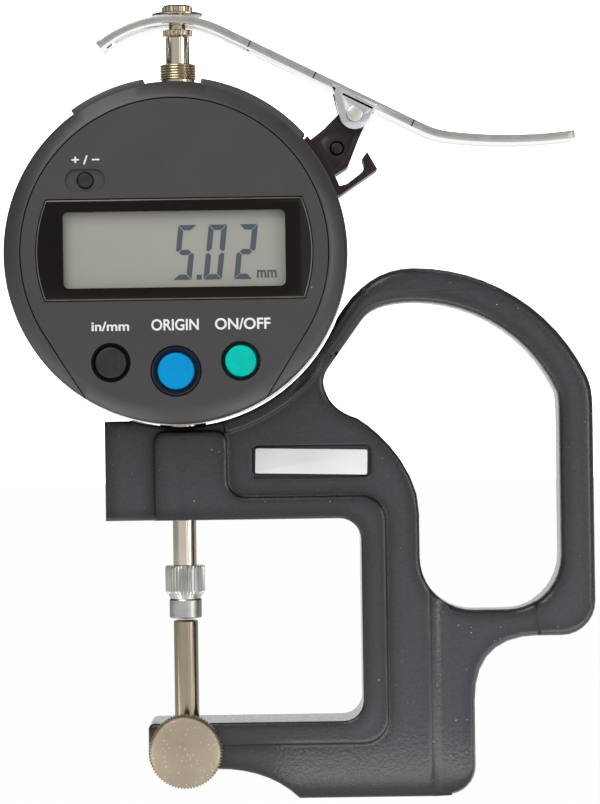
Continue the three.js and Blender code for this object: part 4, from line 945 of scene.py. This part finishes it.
# %% Contact point
NUT_TEETH = 34
spindle_piece(
    "contact_nut",
    [
        (0, 30.9), (2.55, 30.9), (2.8, 31.1), (2.8, 34.0), (2.7, 34.2), (2.6, 34.3), (3.0, 35.1),
        (3.4, 35.5), (3.45, 35.6), (3.45, 39.6), (3.2, 40.0), (0, 40.0),
    ],
    4 * NUT_TEETH, CONTACT_STEEL, "spindle", "steel", "contact_point", knurl=(3.3, 35.4, 39.7, 0.22),
)

# %% Threaded bush
THREAD_PITCH = 0.45
THREAD_TURNS = 6
THREAD_ROOT = 2.85
bush_profile = [(2.25, 119.3), (4.2, 119.3), (4.2, 120.8), (THREAD_ROOT, 120.8)]
for n in range(THREAD_TURNS):
    base = 126.7 - (THREAD_TURNS - n) * THREAD_PITCH
    bush_profile += [(THREAD_ROOT, base), (3.12, base + 0.14), (3.15, base + 0.22), (3.12, base + 0.3)]
bush_profile += [(THREAD_ROOT, 126.6), (2.75, 126.7), (2.25, 126.7), (2.25, 119.3)]
spindle_piece("threaded_bush", bush_profile, 72, NICKEL, "frame", "nickel", "top_bush")

# %% Rings and washer that the lever lifts
RING_TEETH = 20
spindle_piece(
    "lock_ring", [(0, 131.6), (2.5, 131.6), (2.65, 131.75), (2.65, 132.45), (2.5, 132.6), (0, 132.6)],
    4 * RING_TEETH, NICKEL, "spindle", "nickel", "lift_lock_ring", knurl=(2.6, 131.7, 132.5, 0.16),
)
spindle_piece(
    "lift_disc",
    [(1.6, 135.1), (4.3, 135.1), (4.4, 135.2), (4.4, 135.4), (4.3, 135.5), (1.6, 135.5), (1.6, 135.1)],
    72, NICKEL, "spindle", "nickel", "lift_washer",
)
spindle_piece(
    "top_screw",
    [
        (0, 132.7), (1.5, 132.7), (1.5, 135.6), (2.5, 135.6), (2.65, 135.75), (2.65, 136.6), (2.3, 136.9),
        (1.2, 137.0), (0, 137.0),
    ],
    4 * RING_TEETH, NICKEL, "spindle", "nickel", "lift_screw", knurl=(2.6, 135.7, 136.65, 0.16),
)

# %% [markdown]
# The anvil post is a plain ground pin. A knurled screw in the front of the lower arm clamps it. Its
# head is turned about an axis that points at the viewer, so it is knurled before it is turned over.

# %% Anvil post and its screw
spindle_piece(
    "anvil_pin", [(0, 6), (2.12, 6), (2.12, 30.3), (1.95, 30.5), (1.6, 30.6), (0, 30.6)], 64, ANVIL_STEEL,
    "anvil", "steel", "anvil_post",
)

KNOB_TEETH = 72
knob_steps = 4 * KNOB_TEETH
knob = turned(
    "clamp_knob",
    [
        (0, 10.9), (5.3, 10.9), (5.75, 10.75), (5.95, 10.55), (6.25, 10.2), (6.3, 10.1), (6.3, 8.0),
        (6.0, 7.5), (5.6, 7.3), (1.5, 7.3), (1.5, 2.45), (0, 2.45),
    ],
    knob_steps,
)
knurled(knob, knob_steps, 6.22, 7.9, 10.25, 0.2)
place(knob, SPINDLE_X, 0, 8.8, turn=(90, 0, 0))
hand_over(knob, KNOB_NICKEL, "thumb_screw", "nickel", "thumb_screw", smooth=25)

# %% [markdown]
# The lever is one bent strip of chromed steel. Its section is drawn once and carried along: spun
# over the arch, extruded down the straight, spun through the bend and out to the finger end.

# %% The lever's path
PIVOT_X = SPINDLE_X + 30.4
PIVOT_Z = 117.3
STRIP = 1.3
STRIP_WIDTH = 10.0
ARCH = (SPINDLE_X - 1.1, 114.8)
ARCH_RADIUS = 20.0
SLOPE = 26.6
TIP_ANGLE = 129.7
BEND_X = SPINDLE_X + 42.3
BEND_RADIUS = 14.0
BEND_SLOPE = 7.4
END_RADIUS = 85.0
END_RISE = 7.0

slope = math.radians(SLOPE)
straight_start = (ARCH[0] + ARCH_RADIUS * math.sin(slope), ARCH[1] + ARCH_RADIUS * math.cos(slope))


def strip_top(x):
    return straight_start[1] - (x - straight_start[0]) * math.tan(slope)


bend_centre = (BEND_X + BEND_RADIUS * math.sin(slope), strip_top(BEND_X) + BEND_RADIUS * math.cos(slope))
turn = math.radians(BEND_SLOPE)
end_centre = (
    bend_centre[0] + (END_RADIUS - BEND_RADIUS) * math.sin(turn),
    bend_centre[1] + (END_RADIUS - BEND_RADIUS) * math.cos(turn),
)
print("straight run starts at", [round(v, 2) for v in straight_start])


def carry_round(centre, degrees, steps):
    """Spins the selected end face clockwise, as seen from the front."""
    bpy.ops.mesh.spin(
        steps=steps, angle=math.radians(degrees), center=metres(centre[0], 0, centre[1]), axis=(0, -1, 0)
    )


# %% The lever's strip
strip = added("lifting_lever", bpy.ops.mesh.primitive_plane_add, size=MM)
strip.scale = (STRIP, STRIP_WIDTH, 1)
middle = ARCH_RADIUS - STRIP / 2
tip = math.radians(TIP_ANGLE)
place(
    strip, ARCH[0] + middle * math.cos(tip), 0, ARCH[1] + middle * math.sin(tip), turn=(0, -TIP_ANGLE, 0)
)
edit_all()
carry_round(ARCH, TIP_ANGLE - 90 + SLOPE, 24)
run = metres(BEND_X - straight_start[0], 0, strip_top(BEND_X) - straight_start[1])
bpy.ops.mesh.extrude_region_move(TRANSFORM_OT_translate={"value": run})
carry_round(bend_centre, BEND_SLOPE - SLOPE, 12)
carry_round(end_centre, -(BEND_SLOPE + END_RISE), 16)
close_edit()
print("faces of the bare strip:", len(strip.data.polygons))

# %% [markdown]
# Two ears are folded down from the strip to take the pivot pin, and a long slot lets the spindle's
# end through. An ear is a triangle with a round tip, so its outline is worked out from the tip's
# circle and the two lines that touch it.

# %% Ears and slot
EAR_RADIUS = 2.6
EAR_THICKNESS = 0.95
EAR_PROUD = 0.15


def ear_corners():
    inside = STRIP / 2
    left = (PIVOT_X - 3.8, strip_top(PIVOT_X - 3.8) - inside)
    right = (PIVOT_X + 3.8, strip_top(PIVOT_X + 3.8) - inside)

    def touch_angle(point, side):
        heading = math.atan2(point[1] - PIVOT_Z, point[0] - PIVOT_X)
        distance = math.hypot(point[1] - PIVOT_Z, point[0] - PIVOT_X)
        return heading - side * math.acos(EAR_RADIUS / distance)

    start, end = math.degrees(touch_angle(left, -1)), math.degrees(touch_angle(right, 1)) + 360
    return [left] + arc(PIVOT_X, PIVOT_Z, EAR_RADIUS, start, end, 20) + [right]


half_width = STRIP_WIDTH / 2
ear_face = half_width + EAR_PROUD
for front, back in ((-ear_face, EAR_THICKNESS - ear_face), (ear_face - EAR_THICKNESS, ear_face)):
    carve(strip, plate("ear", ear_corners(), front, back), "UNION")
slot_tool = block("slot", (24.8, 3.6, 16), (SPINDLE_X + 0.1, 0, 130))
round_long_edges(slot_tool, 1.7, axis=2, segments=8)
carve(strip, slot_tool)
carve(strip, drum("pin hole", 1.0, -7, 7, PIVOT_X, PIVOT_Z, 48))

# %% [markdown]
# The front ear has a slit and a notch close under the strip, and three score marks cross the edge
# of the strip. They are cut with small tools that lean with the slope, and shade is painted into
# them as a near-black colour. The strip's edges are sheared steel, duller than its faces, and the
# ears are satin.

# %% Slit, notch and score marks
CUTS = [
    {"x": PIVOT_X + 0.55, "length": 5.7, "width": 0.34, "below": STRIP + 0.15, "deep": 0.6},
    {"x": PIVOT_X - 3.75, "length": 0.6, "width": 1.5, "below": STRIP + 0.5, "deep": 0.6},
]
SCORES = [SPINDLE_X + 12.5, SPINDLE_X + 23.6, SPINDLE_X + 40.4]


def cut_middle(cut):
    return cut["x"], strip_top(cut["x"]) - cut["below"] / math.cos(slope)


def make_cut(cut):
    tool = block("cut", (cut["length"], 2 * cut["deep"], cut["width"]), (0, 0, 0))
    middle_x, middle_z = cut_middle(cut)
    carve(strip, place(tool, middle_x, -ear_face, middle_z, turn=(0, SLOPE, 0)))


def in_a_cut(face):
    x, y, z = (value / MM for value in face.center)
    for cut in CUTS:
        middle_x, middle_z = cut_middle(cut)
        along = (x - middle_x) * math.cos(slope) - (z - middle_z) * math.sin(slope)
        across = (x - middle_x) * math.sin(slope) + (z - middle_z) * math.cos(slope)
        inside = abs(along) < cut["length"] / 2 + 0.01 and abs(across) < cut["width"] / 2 + 0.01
        if inside and y < cut["deep"] - ear_face + 0.01:
            return True
    return False


def on_side(face, least):
    return abs(face.center.y) > least * MM and abs(face.normal.y) > 0.9


for cut in CUTS:
    make_cut(cut)
eased(strip, 0.16)
for x in SCORES:
    CUTS.append({"x": x, "length": 0.2, "width": STRIP + 0.2, "below": STRIP / 2, "deep": EAR_PROUD + 0.12})
    make_cut(CUTS[-1])
hand_over(strip, CHROME, "lever", "chrome", "lever", smooth=35)
paint_faces(strip, lambda face: on_side(face, half_width - 0.01), EDGE_CHROME)
paint_faces(strip, lambda face: on_side(face, half_width + 0.1), EAR_CHROME)
# Painted shade inside the cuts.
paint_faces(strip, in_a_cut, SLIT_SHADE)

# %% Pivot pin
pin = turned_front(
    "pivot_pin",
    [
        (0, -5.9), (1.2, -5.9), (1.34, -5.84), (1.4, -5.7), (1.4, -5.3), (0.9, -5.3), (0.9, 5.3), (1.4, 5.3),
        (1.4, 5.7), (1.34, 5.84), (1.2, 5.9), (0, 5.9),
    ],
    PIVOT_X, PIVOT_Z, steps=48,
)
hand_over(pin, PIN_STEEL, "lever", "chrome", "lever_pin", smooth=40)

# %% [markdown]
# The bracket is moulded in black plastic. It lies on the rim of the case, and below it a small hook
# catches the lever's other fitting. Its solid is copied, a groove is turned round the pivot, and the
# edges are broken.

# %% Bracket
bracket = copy_of("lever_bracket", "bracket_body")
groove = turned_front(
    "groove", [(2.5, -4.6), (3.1, -4.6), (3.0, -3.45), (2.6, -3.45), (2.5, -4.6)], PIVOT_X, PIVOT_Z, steps=72
)
carve(bracket, groove)
eased(bracket, 0.16, segments=2, angle=35)
hand_over(bracket, BLACK_PLASTIC, "frame", "black_plastic", "lever_bracket")
plug = copy_of("bracket_pin", "bracket_plug")
eased(plug, 0.15)
hand_over(plug, BLACK_PLASTIC, "frame", "black_plastic", "bracket_pin")

# %% [markdown]
# Everything else is inside the head or too small to need more than its solid. Each gets the
# finish of what it is made of.

# %% Finishes of the remaining solids
FINISH_OF = {
    name: material
    for material, names in (
        (DARK_METAL, "stem_set_screw"),
        (CRYSTAL, "display_panel"),
        (RUBBER, "display_connector keypad_membrane sign_key_dome"),
        (BOARD, "main_board detector_board"),
        (BRASS, "measuring_scale battery_contact"),
        (ALUMINIUM, "scale_carrier"),
        (STEEL, "guide_pin guide_rail return_spring spring_hook spring_post battery"),
        (BLACK_PLASTIC, "battery_holder data_connector"),
    )
    for name in names.split()
}
for name, material in FINISH_OF.items():
    NODES[name].data.materials.clear()
    NODES[name].data.materials.append(material)
shown = [name for name, node in NODES.items() if not node.hide_render]
print("solids still shown:", sorted(shown))
assert sorted(shown) == sorted(FINISH_OF), "a solid has no finish"

# %% [markdown]
# The studio is a white floor and a white surround. The camera sees the surround white. For the rest
# it is a white backdrop behind the gauge, a wide and milder field in front, and nearly dark at the
# sides, which gives round metal its dark bands. Soft lamps add a direction: one above on the left,
# one on the right, a narrow one in front for round metal, and two low panels just in front of the
# gauge that shine up, as a light table does.

# %% Floor and surround
BRIGHTNESS = [(-1.0, 0.5), (-0.65, 0.5), (-0.3, 0.06), (0.87, 0.06), (0.96, 1.0)]
FLOOR_WHITE = 0.985
LIGHT_GAIN = 1.2
NEAR = (0.05, 0.16)


def by_heading(tree, vector):
    """The studio's brightness in a direction: its Y runs from -1 in front of the gauge to 1 behind it."""
    heading = add_node(tree, "SeparateXYZ", {0: vector})
    ramp = add_node(tree, "ValToRGB")
    ramp.color_ramp.interpolation = "EASE"
    stops = ramp.color_ramp.elements
    while len(stops) < len(BRIGHTNESS):
        stops.new(0.5)
    for stop, (y, value) in zip(stops, BRIGHTNESS):
        stop.position = (y + 1) / 2
        stop.color = (value, value, value, 1)
    half = calculate(tree, "MULTIPLY", calculate(tree, "ADD", heading.outputs["Y"], 1.0), 0.5)
    tree.links.new(half, ramp.inputs[0])
    return ramp.outputs["Color"]


def always_white(tree, rays):
    """1 for the rays that look straight at the studio, or through glass at it."""
    return calculate(tree, "MAXIMUM", rays["Is Camera Ray"], rays["Is Transmission Ray"])


floor = added("floor", bpy.ops.mesh.primitive_plane_add, size=4.0)
floor_material = bpy.data.materials.new("white floor")
floor_material.use_nodes = True
tree = floor_material.node_tree
matt = fill(tree, tree.nodes["Principled BSDF"], {"Base Color": (0.86, 0.86, 0.86, 1), "Roughness": 0.9})
glow = add_node(tree, "Emission", {"Strength": 1.0})
rays = add_node(tree, "LightPath").outputs
spot = add_node(tree, "TexCoord").outputs["Object"]
heading = add_node(tree, "VectorMath", {0: spot}, operation="NORMALIZE").outputs[0]
reach = add_node(tree, "VectorMath", {0: spot}, operation="LENGTH").outputs["Value"]
near_values = {"Value": reach, "From Min": NEAR[0], "From Max": NEAR[1], "To Min": 1.0, "To Max": 0.0}
near = add_node(tree, "MapRange", near_values)
floor_level = calculate(tree, "MAXIMUM", by_heading(tree, heading), near.outputs["Result"])
mirrored = calculate(tree, "MULTIPLY", rays["Is Glossy Ray"], floor_level)
white = calculate(tree, "MAXIMUM", always_white(tree, rays), mirrored)
share = calculate(tree, "MULTIPLY", white, FLOOR_WHITE)
mixer = add_node(tree, "MixShader", {0: share, 1: matt.outputs[0], 2: glow.outputs[0]})
fill(tree, tree.nodes["Material Output"], {"Surface": mixer.outputs[0]})
floor.data.materials.append(floor_material)

world = bpy.data.worlds.new("white surround")
bpy.context.scene.world = world
world.use_nodes = True
tree = world.node_tree
rays = add_node(tree, "LightPath").outputs
level = by_heading(tree, add_node(tree, "TexCoord").outputs["Generated"])
matte = calculate(tree, "SUBTRACT", 1.0, rays["Is Glossy Ray"])
gain = calculate(tree, "ADD", calculate(tree, "MULTIPLY", matte, LIGHT_GAIN), 1.0)
light = calculate(tree, "MULTIPLY", level, gain)
strength = calculate(tree, "MAXIMUM", always_white(tree, rays), light)
fill(tree, tree.nodes["Background"], {"Color": (1, 1, 1, 1), "Strength": strength})


# %% Lamps
def soft_lamp(name, position, target, size, watts):
    lamp = added(name, bpy.ops.object.light_add, type="AREA", location=metres(*position))
    lamp.data.shape = "RECTANGLE"
    lamp.data.size = size[0] * MM
    lamp.data.size_y = size[1] * MM
    lamp.data.energy = watts
    x, y, z = (t - p for t, p in zip(target, position))
    lamp.rotation_euler = (math.atan2(math.hypot(x, y), -z), 0, math.atan2(x, -y) + math.pi)


MIDDLE = (0, 0, 70)
soft_lamp("lamp above", (-260, -420, 560), MIDDLE, (420, 420), 2.3)
soft_lamp("lamp on the right", (420, -360, 60), MIDDLE, (160, 420), 1.0)
soft_lamp("narrow lamp for round metal", (150, -415, 70), MIDDLE, (50, 360), 0.07)
for x, width, watts in ((-139, 182, 0.04), (107, 246, 0.054)):
    soft_lamp("light table", (x, -28, 1.5), (x, -27.9, 300), (width, 28), watts)

# %% [markdown]
# The camera looks level at the gauge from half a metre. It is turned by less than a degree, because
# the gauge leans that much in the picture.

# %% Camera
CAMERA_DISTANCE = 507.0
CAMERA_HEIGHT = 68.0
CAMERA_X = SPINDLE_X + 20.32
FOCAL_PIXELS = 2925.0
PICTURE_HEIGHT = 804.0
SENSOR = 36.0
CAMERA_ROLL = 0.0145
bpy.ops.object.camera_add(location=metres(CAMERA_X, -CAMERA_DISTANCE, CAMERA_HEIGHT))
camera = bpy.context.object
camera.rotation_euler = (math.pi / 2, CAMERA_ROLL, 0)
camera.data.sensor_width = SENSOR
camera.data.lens = FOCAL_PIXELS / PICTURE_HEIGHT * SENSOR
camera.data.clip_start = 0.01
camera.data.clip_end = 10.0
bpy.context.scene.camera = camera
bpy.context.scene.view_settings.view_transform = "Standard"
